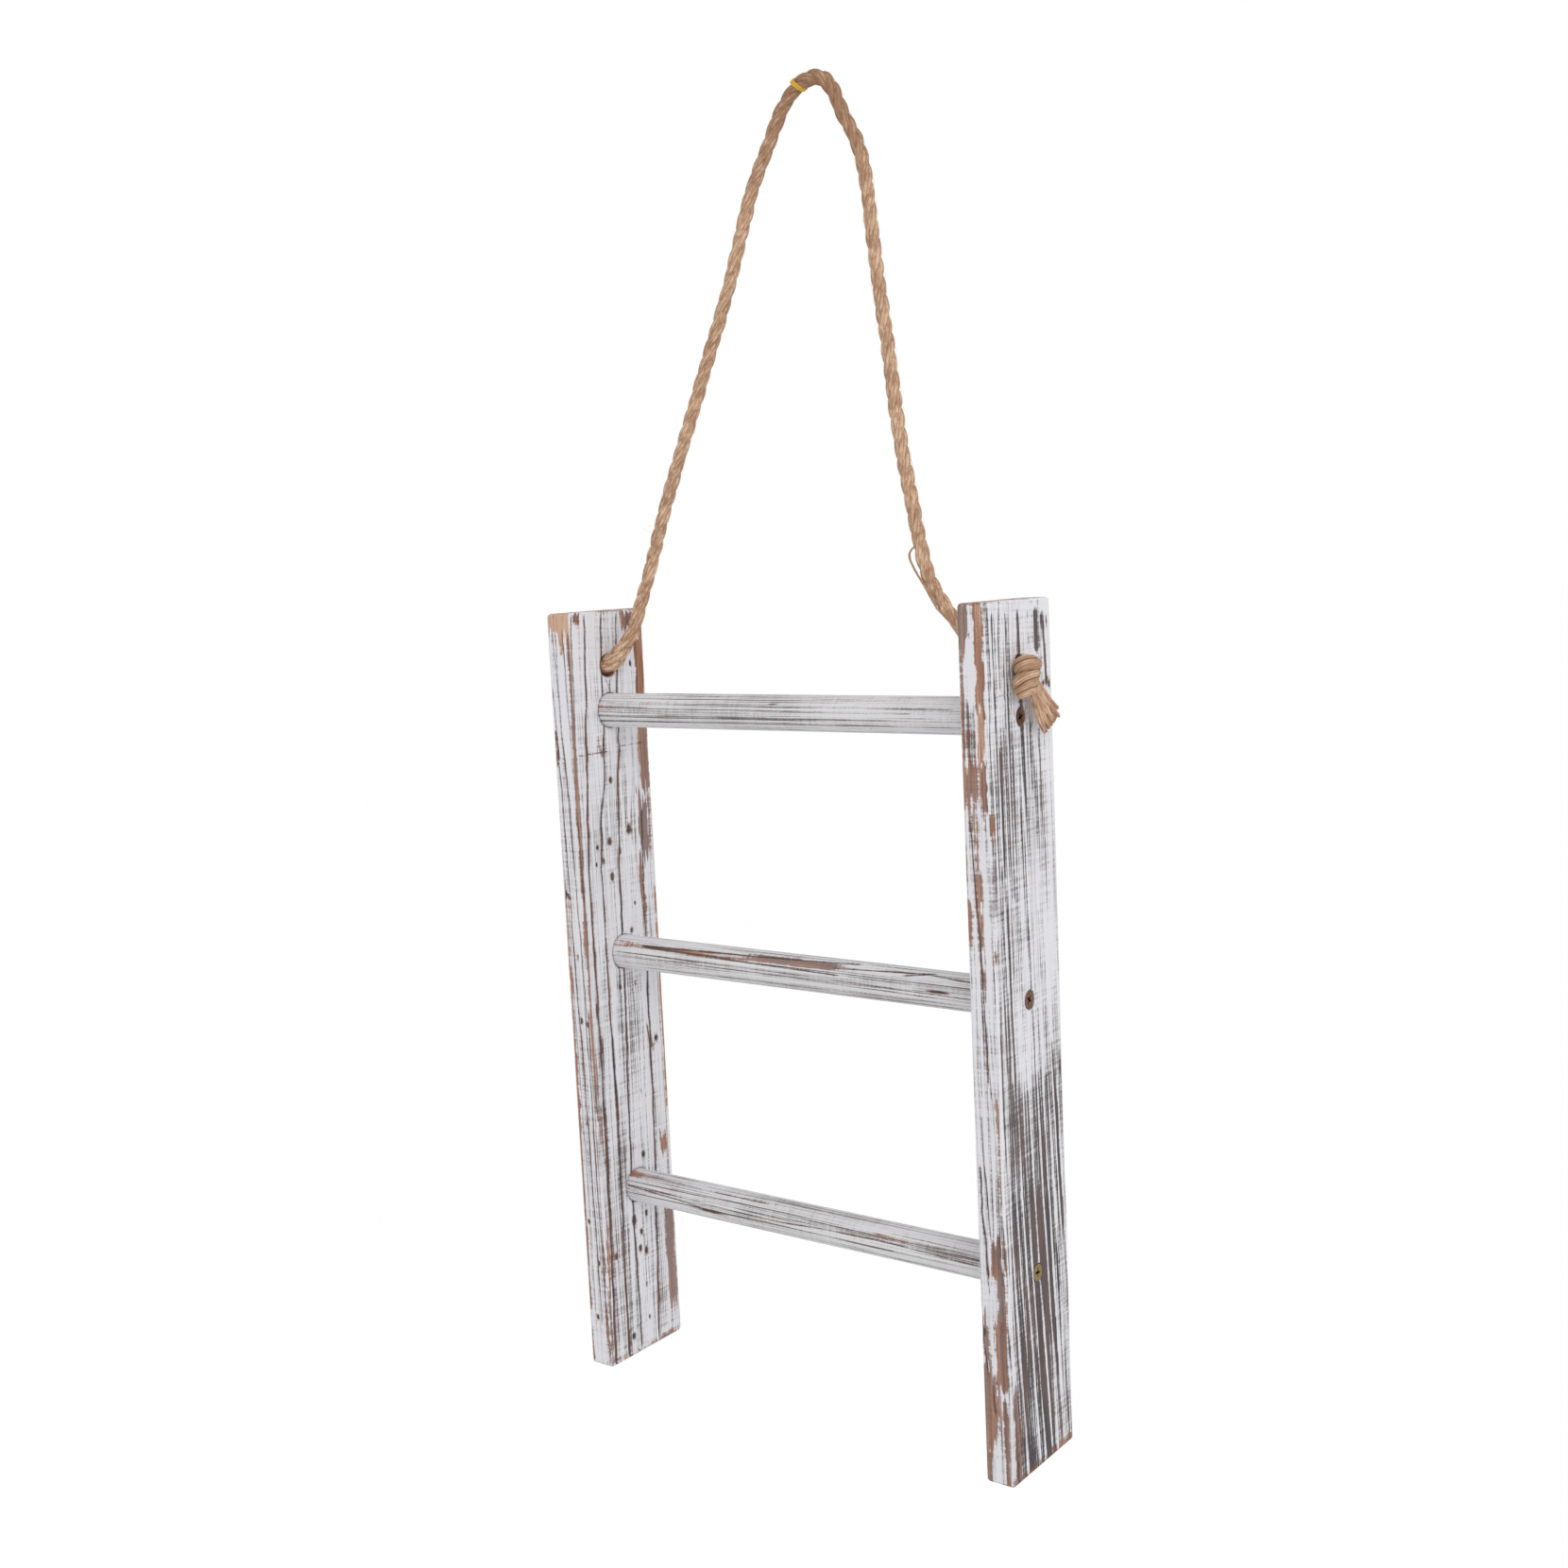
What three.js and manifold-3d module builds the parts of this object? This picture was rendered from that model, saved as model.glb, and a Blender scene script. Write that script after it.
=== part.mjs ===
// Wall towel rack: a small ladder of two boards and three dowel rungs, hung on a loop of jute rope.
// Millimetres, +Z up, +X along the rungs, +Y towards the wall.
// The origin is the underside of the rope's top bend, where the loop sits on its wall hook.

import * as THREE from 'three'
import { mergeVertices } from 'three/addons/utils/BufferGeometryUtils.js'
import Module from 'manifold-3d'

const wasm = await Module()
wasm.setup()

// Where the ladder hangs from the hook
const hookAboveRails = 274
const hookOffCentre = 15
const hookToWall = 4.5

// Rails
const railHeight = 450
const railDepth = 65
const railThickness = 16
const railEdgeRadius = 1.5
const railCornerRadius = 2.5
const innerWidth = 258

// Rungs
const rungDiameter = 20
const firstRungDrop = 58
const rungSpacing = 144
const socketDepth = 5
const rungNames = ['top', 'middle', 'bottom']

// Screws
const screwLength = 30
const screwShankDiameter = 4.5
const screwHeadDiameter = 9
const screwHeadRim = 0.5
const screwTipLength = 6
const screwSink = 0.5
const recessLength = 5
const recessWidth = 1
const recessDepth = 1.8
const pilotSpareDepth = 1

// Rope
const ropeDiameter = 8
const ropeHoleDiameter = 13
const ropeHoleDrop = 32
const ropeEndStraight = 3
const ropeBendRoom = 0.4
const markerWidth = 2.6
const markerWall = 0.7
const markerPlace = 0.491

// Knots
const knotHeight = 23.5
const knotWidth = 16
const knotReach = 12
const knotTurns = 2.5
const knotDrop = 4.2
const knotForward = 5
const knotLean = 15
const tailLength = 22.5
const tailStartWidth = 6.5
const tailEndWidth = 14
const tailThickness = 5
const tailDrop = 11
const tailBack = 2.5
const tailSwing = 32
const tailFlare = 8
const tailTwist = 15

// Gap that touching pieces keep
const clearance = 0.3

// How far a cutter runs past the face that it cuts
const cutPast = 1

// Facets
const rungSides = 48
const holeSides = 32
const screwSides = 24
const edgeSteps = 3
const cornerSteps = 4
const ropeSides = 12
const ropeSteps = 80
const knotSides = 10
const knotStepsPerTurn = 14

const halfInner = innerWidth / 2
const halfOuter = halfInner + railThickness
const rungRadius = rungDiameter / 2
const ropeRadius = ropeDiameter / 2
const ropeHoleRadius = ropeHoleDiameter / 2
const shankRadius = screwShankDiameter / 2
const headRadius = screwHeadDiameter / 2
const ladderPlace = new THREE.Vector3(-hookOffCentre, hookToWall - railDepth / 2, -hookAboveRails)
const holeAxisZ = ladderPlace.z - ropeHoleDrop
// The rope slants through its hole: low at the knot outside, high at the mouth inside.
const ropePlay = ropeHoleRadius - ropeRadius - clearance - ropeBendRoom

// The free rope from the left rail over the hook to the right rail, chosen by hand.
const ropeFreePoints = [
  [-139.7, -27.7, -302.5],
  [-136.1, -27.4, -299.6],
  [-127.3, -26.6, -290.4],
  [-123.9, -26.1, -285.0],
  [-118.1, -24.6, -268.0],
  [-112.9, -23.4, -255.2],
  [-101.0, -20.2, -219.0],
  [-86.8, -16.6, -180.0],
  [-73.0, -13.4, -144.0],
  [-54.8, -9.1, -96.6],
  [-40.2, -4.9, -49.9],
  [-29.4, -2.9, -27.7],
  [-21.3, -1.4, -11.6],
  [-14.6, -0.6, -3.2],
  [-7.8, -0.2, 1.9],
  [0, 0, 4.0],
  [7.9, -0.2, 1.9],
  [13.9, -0.7, -4.2],
  [19.9, -2.0, -17.8],
  [29.6, -3.8, -37.6],
  [37.4, -7.0, -73.4],
  [45.4, -11.3, -120.6],
  [53.6, -15.5, -168.0],
  [63.0, -19.7, -214.5],
  [69.4, -22.3, -243.0],
  [75.4, -23.9, -260.4],
  [83.4, -25.1, -273.2],
  [91.8, -25.9, -283.0],
  [98.4, -26.6, -290.8],
  [105.2, -27.4, -298.7],
  [109.4, -27.7, -302.1],
]

const finishes = {
  rail: new THREE.MeshStandardMaterial({ color: 0xd9d6da, roughness: 0.8, metalness: 0 }),
  rung: new THREE.MeshStandardMaterial({ color: 0xdcdadc, roughness: 0.8, metalness: 0 }),
  rope: new THREE.MeshStandardMaterial({ color: 0xb28d68, roughness: 0.95, metalness: 0 }),
  marker: new THREE.MeshStandardMaterial({ color: 0xdcb03c, roughness: 0.7, metalness: 0 }),
  bronzeScrew: new THREE.MeshStandardMaterial({ color: 0x6e4a3a, roughness: 0.45, metalness: 1 }),
  brassScrew: new THREE.MeshStandardMaterial({ color: 0xb8953f, roughness: 0.35, metalness: 1 }),
}

// Solids: a three.js geometry becomes a manifold solid for a cut or a join, and comes back.

function toSolid(geometry) {
  const bare = geometry.clone()
  bare.deleteAttribute('normal')
  bare.deleteAttribute('uv')
  const merged = mergeVertices(bare)
  return new wasm.Manifold(new wasm.Mesh({
    numProp: 3,
    vertProperties: new Float32Array(merged.attributes.position.array),
    triVerts: new Uint32Array(merged.index.array),
  }))
}

function toGeometry(solid) {
  const mesh = solid.getMesh()
  const geometry = new THREE.BufferGeometry()
  geometry.setAttribute('position', new THREE.BufferAttribute(mesh.vertProperties, 3))
  geometry.setIndex(new THREE.BufferAttribute(mesh.triVerts, 1))
  return geometry
}

function cut(base, tools) {
  return toGeometry(tools.reduce((solid, tool) => solid.subtract(toSolid(tool)), toSolid(base)))
}

function join(pieces) {
  return toGeometry(pieces.map(toSolid).reduce((solid, piece) => solid.add(piece)))
}

// A cylinder along X from x0 to x1.
function barAlongX(radius, x0, x1, z, sides) {
  return new THREE.CylinderGeometry(radius, radius, x1 - x0, sides)
    .rotateZ(-Math.PI / 2)
    .translate((x0 + x1) / 2, 0, z)
}

function polygonShape(radius, sides) {
  const corners = Array.from({ length: sides }, (_, i) => {
    const angle = (2 * Math.PI * i) / sides
    return new THREE.Vector2(radius * Math.cos(angle), radius * Math.sin(angle))
  })
  return new THREE.Shape(corners)
}

function tube(curve, radius, sides, steps) {
  return new THREE.ExtrudeGeometry(polygonShape(radius, sides), { steps, extrudePath: curve })
}

function named(name, geometry, finish) {
  const mesh = new THREE.Mesh(geometry, finish)
  mesh.name = name
  return mesh
}

// Screws: the axis is X, with the head's flat top at x = 0 and the tip at x = -screwLength.

function screwBody(grow, top) {
  const profile = [
    [0, -screwLength - grow],
    [shankRadius + grow, -screwLength + screwTipLength - grow],
    [shankRadius + grow, shankRadius - headRadius - screwHeadRim],
    [headRadius + grow, -screwHeadRim],
    [headRadius + grow, top],
    [0, top],
  ]
  const points = profile.map(([r, y]) => new THREE.Vector2(r, y))
  return new THREE.LatheGeometry(points, screwSides).rotateZ(-Math.PI / 2)
}

function screwGeometry() {
  const slot = new THREE.BoxGeometry(2 * recessDepth, recessLength, recessWidth)
  const crossSlot = slot.clone().rotateX(Math.PI / 2)
  return cut(screwBody(0, 0), [slot, crossSlot])
}

const rungDrops = rungNames.map((_, i) => firstRungDrop + i * rungSpacing)

// Rails: the right-hand one, with its inner face at x = 0 and its top at z = 0.

function railBoard() {
  const [y, z, r] = [railDepth / 2, railHeight, railCornerRadius]
  const outline = new THREE.Shape()
  outline.moveTo(-y + r, 0)
  outline.absarc(-y + r, -r, r, Math.PI / 2, Math.PI, false)
  outline.absarc(-y + r, -z + r, r, Math.PI, 1.5 * Math.PI, false)
  outline.absarc(y - r, -z + r, r, 1.5 * Math.PI, 2 * Math.PI, false)
  outline.absarc(y - r, -r, r, 0, Math.PI / 2, false)
  const board = new THREE.ExtrudeGeometry(outline, {
    depth: railThickness - 2 * railEdgeRadius,
    curveSegments: cornerSteps,
    bevelThickness: railEdgeRadius,
    bevelSize: railEdgeRadius,
    bevelOffset: -railEdgeRadius,
    bevelSegments: edgeSteps,
  })
  // Turn the outline's x, y and depth into Y, Z and X.
  const turn = new THREE.Matrix4().makeBasis(
    new THREE.Vector3(0, 1, 0),
    new THREE.Vector3(0, 0, 1),
    new THREE.Vector3(1, 0, 0),
  )
  return board.applyMatrix4(turn).translate(railEdgeRadius, 0, 0)
}

function railGeometry() {
  const ropeHole = barAlongX(ropeHoleRadius, -cutPast, railThickness + cutPast, -ropeHoleDrop, holeSides)
  const rungCuts = rungDrops.flatMap((drop) => [
    barAlongX(rungRadius + clearance, -cutPast, socketDepth, -drop, rungSides),
    screwBody(clearance, screwSink + cutPast).translate(railThickness - screwSink, 0, -drop),
  ])
  return cut(railBoard(), [ropeHole, ...rungCuts])
}

// Rungs: along X, centred, with a pilot bore for a screw in each end.

function rungGeometry() {
  const halfLength = halfInner + socketDepth - clearance
  const tipX = halfOuter - screwSink - screwLength
  const boreEnd = tipX - pilotSpareDepth
  const boreRadius = shankRadius + clearance
  return cut(barAlongX(rungRadius, -halfLength, halfLength, 0, rungSides), [
    barAlongX(boreRadius, boreEnd, halfLength + cutPast, 0, screwSides),
    barAlongX(boreRadius, -halfLength - cutPast, -boreEnd, 0, screwSides),
  ])
}

function ladder() {
  const group = new THREE.Group()
  const rail = railGeometry()
  const rung = rungGeometry()
  const screw = screwGeometry()
  const sides = [['left', Math.PI, -1], ['right', 0, 1]]
  for (const [side, turn, sign] of sides) {
    const board = named(`rail_${side}`, rail, finishes.rail)
    board.position.x = sign * halfInner
    board.rotation.z = turn
    group.add(board)
  }
  rungNames.forEach((place, i) => {
    const bar = named(`rung_${place}`, rung, finishes.rung)
    bar.position.z = -rungDrops[i]
    group.add(bar)
    for (const [side, turn, sign] of sides) {
      const finish = place === 'bottom' ? finishes.brassScrew : finishes.bronzeScrew
      const fastener = named(`screw_${side}_${place}`, screw, finish)
      fastener.position.set(sign * (halfOuter - screwSink), 0, -rungDrops[i])
      fastener.rotation.z = turn
      group.add(fastener)
    }
  })
  group.position.copy(ladderPlace)
  return group
}

// Rope: from the outside of each rail up through its hole, then along the free points.

function ropeCurve() {
  const inHole = (sign, inward, rise) => new THREE.Vector3(
    ladderPlace.x + sign * (halfOuter - inward),
    ladderPlace.y,
    holeAxisZ + rise,
  )
  const free = ropeFreePoints.map((point) => new THREE.Vector3(...point))
  return new THREE.CatmullRomCurve3([
    inHole(-1, 0, -ropePlay),
    inHole(-1, ropeEndStraight, -ropePlay),
    inHole(-1, railThickness, ropePlay),
    ...free,
    inHole(1, railThickness, ropePlay),
    inHole(1, ropeEndStraight, -ropePlay),
    inHole(1, 0, -ropePlay),
  ])
}

// A short band round the rope, square to the facet that it sits on.
function markerGeometry(curve) {
  const rings = curve.getSpacedPoints(ropeSteps)
  const facet = Math.floor(markerPlace * ropeSteps)
  const [start, end] = [rings[facet], rings[facet + 1]]
  const inner = ropeRadius + clearance
  const outer = inner + markerWall
  const half = markerWidth / 2
  const section = [[inner, -half], [outer, -half], [outer, half], [inner, half], [inner, -half]]
  const points = section.map(([r, y]) => new THREE.Vector2(r, y))
  const along = end.clone().sub(start).normalize()
  const turn = new THREE.Quaternion().setFromUnitVectors(new THREE.Vector3(0, 1, 0), along)
  const middle = start.clone().lerp(end, markerPlace * ropeSteps - facet)
  return mergeVertices(new THREE.LatheGeometry(points, screwSides)).applyQuaternion(turn)
    .translate(middle.x, middle.y, middle.z)
}

// Knots: x = 0 is the rail's outer face, x grows outwards on the side given by sign,
// and the rope's axis comes out at y = 0, z = 0.

// The knot's turns about its own centre, from the back at its top round to the front at its foot.
class KnotTurns extends THREE.Curve {
  constructor(sign) {
    super()
    this.sign = sign
    this.tubeRadius = knotHeight / (2 * (knotTurns + 1))
  }

  getPoint(t, target = new THREE.Vector3()) {
    const angle = 2 * Math.PI * knotTurns * t
    const rise = knotHeight - 2 * this.tubeRadius
    return target.set(
      this.sign * (knotReach / 2 - this.tubeRadius) * Math.sin(angle),
      (knotWidth / 2 - this.tubeRadius) * Math.cos(angle),
      rise * (0.5 - t),
    )
  }
}

// The rope's frayed end: round where it leaves the knot, a flat fan at its tip.
function tailGeometry() {
  const tail = new THREE.CylinderGeometry(1, 1, tailLength, 2 * knotSides)
  const { lerp } = THREE.MathUtils
  const at = tail.attributes.position
  for (let i = 0; i < at.count; i++) {
    const t = 0.5 - at.getY(i) / tailLength
    at.setX(i, at.getX(i) * lerp(tailStartWidth, tailThickness, t) / 2)
    at.setZ(i, at.getZ(i) * lerp(tailStartWidth, tailEndWidth, t) / 2)
  }
  return tail.translate(0, -tailLength / 2, 0).rotateX(Math.PI / 2)
}

function knotGeometry(sign) {
  const { degToRad } = THREE.MathUtils
  const turns = new KnotTurns(sign)
  const centreX = sign * (knotReach / 2 + clearance)
  const steps = Math.round(knotTurns * knotStepsPerTurn)
  const inset = turns.tubeRadius / 2
  const core = new THREE.SphereGeometry(1, 2 * knotSides, knotSides)
    .scale(knotReach / 2 - inset, knotWidth / 2 - inset, knotHeight / 2 - inset)
  const lumps = [core, tube(turns, turns.tubeRadius, knotSides, steps)]
    .map((lump) => lump.rotateX(-degToRad(knotLean)).translate(centreX, -knotForward, -knotDrop))
  const stub = [sign * clearance, centreX].sort((a, b) => a - b)
  const inlet = barAlongX(ropeRadius, stub[0], stub[1], 0, ropeSides)
  const tail = tailGeometry()
    .rotateZ(-sign * degToRad(tailTwist))
    .rotateY(-sign * degToRad(tailFlare))
    .rotateX(degToRad(tailSwing))
    .translate(centreX, tailBack, -tailDrop)
  const woodSide = new THREE.BoxGeometry(2 * knotHeight, 4 * knotHeight, 8 * knotHeight)
    .translate(sign * (clearance - knotHeight), 0, 0)
  return cut(join([...lumps, inlet, tail]), [woodSide])
}

function rope() {
  const group = new THREE.Group()
  const curve = ropeCurve()
  group.add(named('rope_loop', tube(curve, ropeRadius, ropeSides, ropeSteps), finishes.rope))
  group.add(named('rope_marker', markerGeometry(curve), finishes.marker))
  for (const [side, sign] of [['left', -1], ['right', 1]]) {
    const knot = named(`rope_knot_${side}`, knotGeometry(sign), finishes.rope)
    knot.position.set(ladderPlace.x + sign * halfOuter, ladderPlace.y, holeAxisZ - ropePlay)
    group.add(knot)
  }
  return group
}

const rack = new THREE.Group()
rack.add(rope(), ladder())

export default rack
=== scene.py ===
"""Wall towel rack: the looks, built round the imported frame.

Two whitewashed boards, three dowel rungs and six screws make a small ladder, which hangs on
a loop of three-strand jute rope with a knot outside each board. Shapes are worked out in
millimetres in the frame's own axes: +X along the rungs, +Y towards the wall, +Z up, with the
origin under the rope's top bend. They become metres where a mesh is made.
"""

import logging
import math
from dataclasses import dataclass, field
from enum import Enum

import bmesh
import bpy
import numpy as np
from mathutils import Matrix, Vector


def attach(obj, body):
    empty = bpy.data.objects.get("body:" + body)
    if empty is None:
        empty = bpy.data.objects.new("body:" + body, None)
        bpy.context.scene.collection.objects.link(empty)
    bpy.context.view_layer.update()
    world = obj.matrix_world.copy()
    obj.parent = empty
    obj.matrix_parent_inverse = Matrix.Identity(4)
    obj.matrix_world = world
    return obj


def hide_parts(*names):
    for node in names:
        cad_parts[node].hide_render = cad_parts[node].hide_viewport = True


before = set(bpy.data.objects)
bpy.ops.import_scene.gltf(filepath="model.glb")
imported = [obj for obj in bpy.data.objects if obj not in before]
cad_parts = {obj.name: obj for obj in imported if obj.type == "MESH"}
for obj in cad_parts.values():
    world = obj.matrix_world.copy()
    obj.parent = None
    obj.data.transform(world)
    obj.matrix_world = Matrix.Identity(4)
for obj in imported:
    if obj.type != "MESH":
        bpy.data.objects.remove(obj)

Array = np.ndarray
Point = tuple[float, float, float]
Colour = tuple[float, float, float, float]
Pairs = tuple[tuple[float, float], ...]
Material = bpy.types.Material
Piece = bpy.types.Object
Socket = bpy.types.NodeSocket

log = logging.getLogger("towel_rack")

MM = 0.001
TURN = 2 * math.pi
WELD_DIGITS = 4

# The ladder's middle and its boards' tops, and how far out from its middle their faces are.
LADDER_X = -15.0
LADDER_Y = -28.0
LADDER_TOP = -274.0
INNER_REACH = 129.0
OUTER_REACH = 145.0

# Where the rope leaves the boards, and how far below the boards' tops the holes and rungs are.
ROPE_EXIT_Z = -307.8
ROPE_DROP = 32.0
RUNG_DROPS = {"top": 58.0, "middle": 202.0, "bottom": 346.0}


# Numbers along a surface


def smooth(low: float, high: float, value: Array) -> Array:
    """A step from 0 at low to 1 at high, with level ends: 3t^2 - 2t^3."""
    t = np.clip((value - low) / (high - low), 0, 1)
    return t * t * (3 - 2 * t)


def unit(vectors: Array) -> Array:
    """The vectors along the last axis, each divided by its length."""
    return vectors / np.linalg.norm(vectors, axis=-1, keepdims=True)


def value_noise(u: Array, v: Array | float, seed: int) -> Array:
    """Smooth noise from 0 to 1, one seeded value at each whole u and v, blended between them.

    Args:
        u: Places along the first direction, in cells.
        v: Places along the second direction, in cells.
        seed: Picks the table of values.

    Returns:
        One value for each place.
    """
    size = 97
    table = np.random.default_rng(seed).random((size, size))
    u, v = np.broadcast_arrays(np.asarray(u, float), np.asarray(v, float))
    iu, iv = np.floor(u).astype(int), np.floor(v).astype(int)
    su, sv = smooth(0, 1, u - iu), smooth(0, 1, v - iv)
    near = table[iu % size, iv % size] * (1 - su) + table[(iu + 1) % size, iv % size] * su
    far = table[iu % size, (iv + 1) % size] * (1 - su) + table[(iu + 1) % size, (iv + 1) % size] * su
    return near * (1 - sv) + far * sv


def grain_lines(across: Array, along: Array, seed: int) -> Array:
    """Fine lines that follow the grain, from about -1 to 1.

    The sum of three noises stretched along the grain: 0.5 with cells 0.8 mm wide and 60 mm
    long, 0.3 with cells 2.2 by 110 mm, and 0.2 with cells 0.6 by 20 mm.

    Args:
        across: Millimetres across the grain.
        along: Millimetres along it.
        seed: Picks the lines.

    Returns:
        One value for each place.
    """
    fine = value_noise(across / 0.8, along / 60, seed)
    coarse = value_noise(across / 2.2, along / 110, seed + 1)
    short = value_noise(across / 0.6, along / 20, seed + 2)
    return 2.4 * (0.5 * fine + 0.3 * coarse + 0.2 * short - 0.5)


def smooth_route(knots: Array, spacing: float) -> Array:
    """Points a given distance apart on the centripetal Catmull-Rom curve through the knots.

    Each span is the cubic with Hermite slopes taken from its neighbours, where a span's
    share of the curve is the square root of its chord.

    Args:
        knots: The points that the curve passes through.
        spacing: About how far apart the points are.

    Returns:
        The points, evenly spaced along the curve.
    """
    ends = np.vstack([2 * knots[0] - knots[1], knots, 2 * knots[-1] - knots[-2]])
    p0, p1, p2, p3 = ends[:-3], ends[1:-2], ends[2:-1], ends[3:]
    share = np.sqrt(np.linalg.norm(np.diff(ends, axis=0), axis=1))[:, None]
    d0, d1, d2 = share[:-2], share[1:-1], share[2:]
    slope1 = ((p1 - p0) / d0 - (p2 - p0) / (d0 + d1) + (p2 - p1) / d1) * d1
    slope2 = ((p2 - p1) / d1 - (p3 - p1) / (d1 + d2) + (p3 - p2) / d2) * d1
    t = np.linspace(0, 1, 40, endpoint=False)[None, :, None]
    a, b, c, d = (x[:, None, :] for x in (p1, p2, slope1, slope2))
    spans = (a * (2 * t**3 - 3 * t**2 + 1) + c * (t**3 - 2 * t**2 + t)
             + b * (3 * t**2 - 2 * t**3) + d * (t**3 - t**2))
    dense = np.vstack([spans.reshape(-1, 3), knots[-1:]])
    run = run_length(dense)
    at = np.linspace(0, run[-1], round(run[-1] / spacing) + 1)
    return np.stack([np.interp(at, run, dense[:, k]) for k in range(3)], axis=1)


def follow(pairs: Pairs, at: Array) -> Array:
    """Values at places along a row of (place, value) pairs, straight between them."""
    return np.interp(at, *np.array(pairs, float).T)


def swept(angle: Array, first: Array, second: Array) -> Array:
    """Directions at angles from a first direction towards a second one square to it."""
    return np.cos(angle)[..., None] * first + np.sin(angle)[..., None] * second


def run_length(path: Array) -> Array:
    """Distance along a path at each of its points."""
    return np.concatenate([[0], np.cumsum(np.linalg.norm(np.diff(path, axis=0), axis=1))])


def turn_about(axis: int, degrees: float) -> Array:
    """The 3 x 3 matrix that turns a column vector about X, Y or Z (axis 0, 1 or 2)."""
    return np.array(Matrix.Rotation(math.radians(degrees), 3, "XYZ"[axis]))


def side_mirror(side: str) -> Array:
    """What turns a right-hand direction into one of that side: X changes sign on the left."""
    return np.array([1.0 if side == "right" else -1.0, 1.0, 1.0])


def on_side(points: Array, side: str, reach: float, z: float) -> Array:
    """Puts right-hand points that far out and that high on a side, mirrored on the left."""
    mirror = side_mirror(side)
    return points * mirror + np.array([LADDER_X + mirror[0] * reach, LADDER_Y, z])


# Meshes


@dataclass
class Skin:
    """Grids of points in millimetres, gathered and welded into one mesh.

    Points that fall in one place become one, and a quad that a pole pinches becomes a
    triangle. Values ride on the points, and a grid's UV places ride on the face corners.
    """

    name: str
    points: list[Array] = field(default_factory=list)
    quads: list[Array] = field(default_factory=list)
    corners: list[Array] = field(default_factory=list)
    values: dict[str, list[Array]] = field(default_factory=dict)
    size: int = 0

    def add_grid(
        self,
        grid: Array,
        closed: bool = False,
        keep: Array | None = None,
        uv: Array | None = None,
        **values: Array | float,
    ) -> None:
        """Adds rows x columns of points with a quad between each four neighbours.

        Args:
            grid: The points, rows x columns x 3.
            closed: Whether the last column joins the first.
            keep: Which of the quads are kept, as booleans; all without it.
            uv: A UV place for each point, with one column more on a closed grid.
            **values: Numbers that ride on the points, by name.
        """
        rows, columns = grid.shape[:2]
        index = self.size + np.arange(rows * columns).reshape(rows, columns)
        if closed:
            index = np.concatenate([index, index[:, :1]], axis=1)
        if uv is None:
            uv = np.zeros(index.shape + (2,))
        quads, corners = (
            np.stack([part[:-1, :-1], part[:-1, 1:], part[1:, 1:], part[1:, :-1]], axis=2)
            for part in (index, uv)
        )
        chosen = np.ones(quads.shape[:2], bool) if keep is None else keep
        self.quads.append(quads[chosen])
        self.corners.append(corners[chosen])
        self.points.append(grid.reshape(-1, 3))
        for name in set(self.values) | set(values):
            given = np.broadcast_to(values.get(name, 0.0), (rows, columns)).reshape(-1)
            self.values.setdefault(name, [np.zeros(self.size)] if self.size else []).append(given)
        self.size += rows * columns

    def add_tube(self, rings: Array, uv: Array, **values: Array | float) -> None:
        """Adds a tube given ring by ring, and closes both of its ends at their middles."""
        first, last = (rings[i].mean(axis=0) for i in (0, -1))
        shape = (1,) + rings.shape[1:]
        grid = np.concatenate([np.broadcast_to(first, shape), rings, np.broadcast_to(last, shape)])
        ends = {name: np.concatenate([v[:1], v, v[-1:]]) for name, v in (values | {"uv": uv}).items()}
        self.add_grid(grid, closed=True, **ends)

    def make(self, material: Material, sharp: float) -> Piece:
        """Welds the grids and makes the object, with its faces outward and smooth.

        Args:
            material: The piece's finish.
            sharp: Edges that turn by more than this many degrees stay sharp.

        Returns:
            The new object, at the origin.
        """
        points = np.concatenate(self.points)
        _, first, index = np.unique(
            np.round(points, WELD_DIGITS), axis=0, return_index=True, return_inverse=True
        )
        quads = index.reshape(-1)[np.concatenate(self.quads)]
        corners = np.concatenate(self.corners)
        pinched = quads == np.roll(quads, -1, axis=1)
        whole = pinched.sum(axis=1) == 0
        single = pinched.sum(axis=1) == 1
        kept = ~pinched[single]
        triangles = quads[single][kept].reshape(-1, 3)
        uv = np.concatenate([corners[whole].reshape(-1, 2), corners[single][kept]])
        mesh = bpy.data.meshes.new(self.name)
        mesh.from_pydata((points[first] * MM).tolist(), [], quads[whole].tolist() + triangles.tolist())
        mesh.uv_layers.new(name="Lay").data.foreach_set("uv", uv.astype(np.float32).ravel())
        for name, parts in self.values.items():
            ride = mesh.attributes.new(name, "FLOAT", "POINT")
            ride.data.foreach_set("value", np.concatenate(parts)[first].astype(np.float32))
        shell = bmesh.new()
        shell.from_mesh(mesh)
        bmesh.ops.recalc_face_normals(shell, faces=shell.faces)
        shell.to_mesh(mesh)
        shell.free()
        mesh.materials.append(material)
        mesh.shade_smooth()
        mesh.set_sharp_from_angle(angle=math.radians(sharp))
        piece = bpy.data.objects.new(self.name, mesh)
        bpy.context.scene.collection.objects.link(piece)
        return piece


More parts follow.
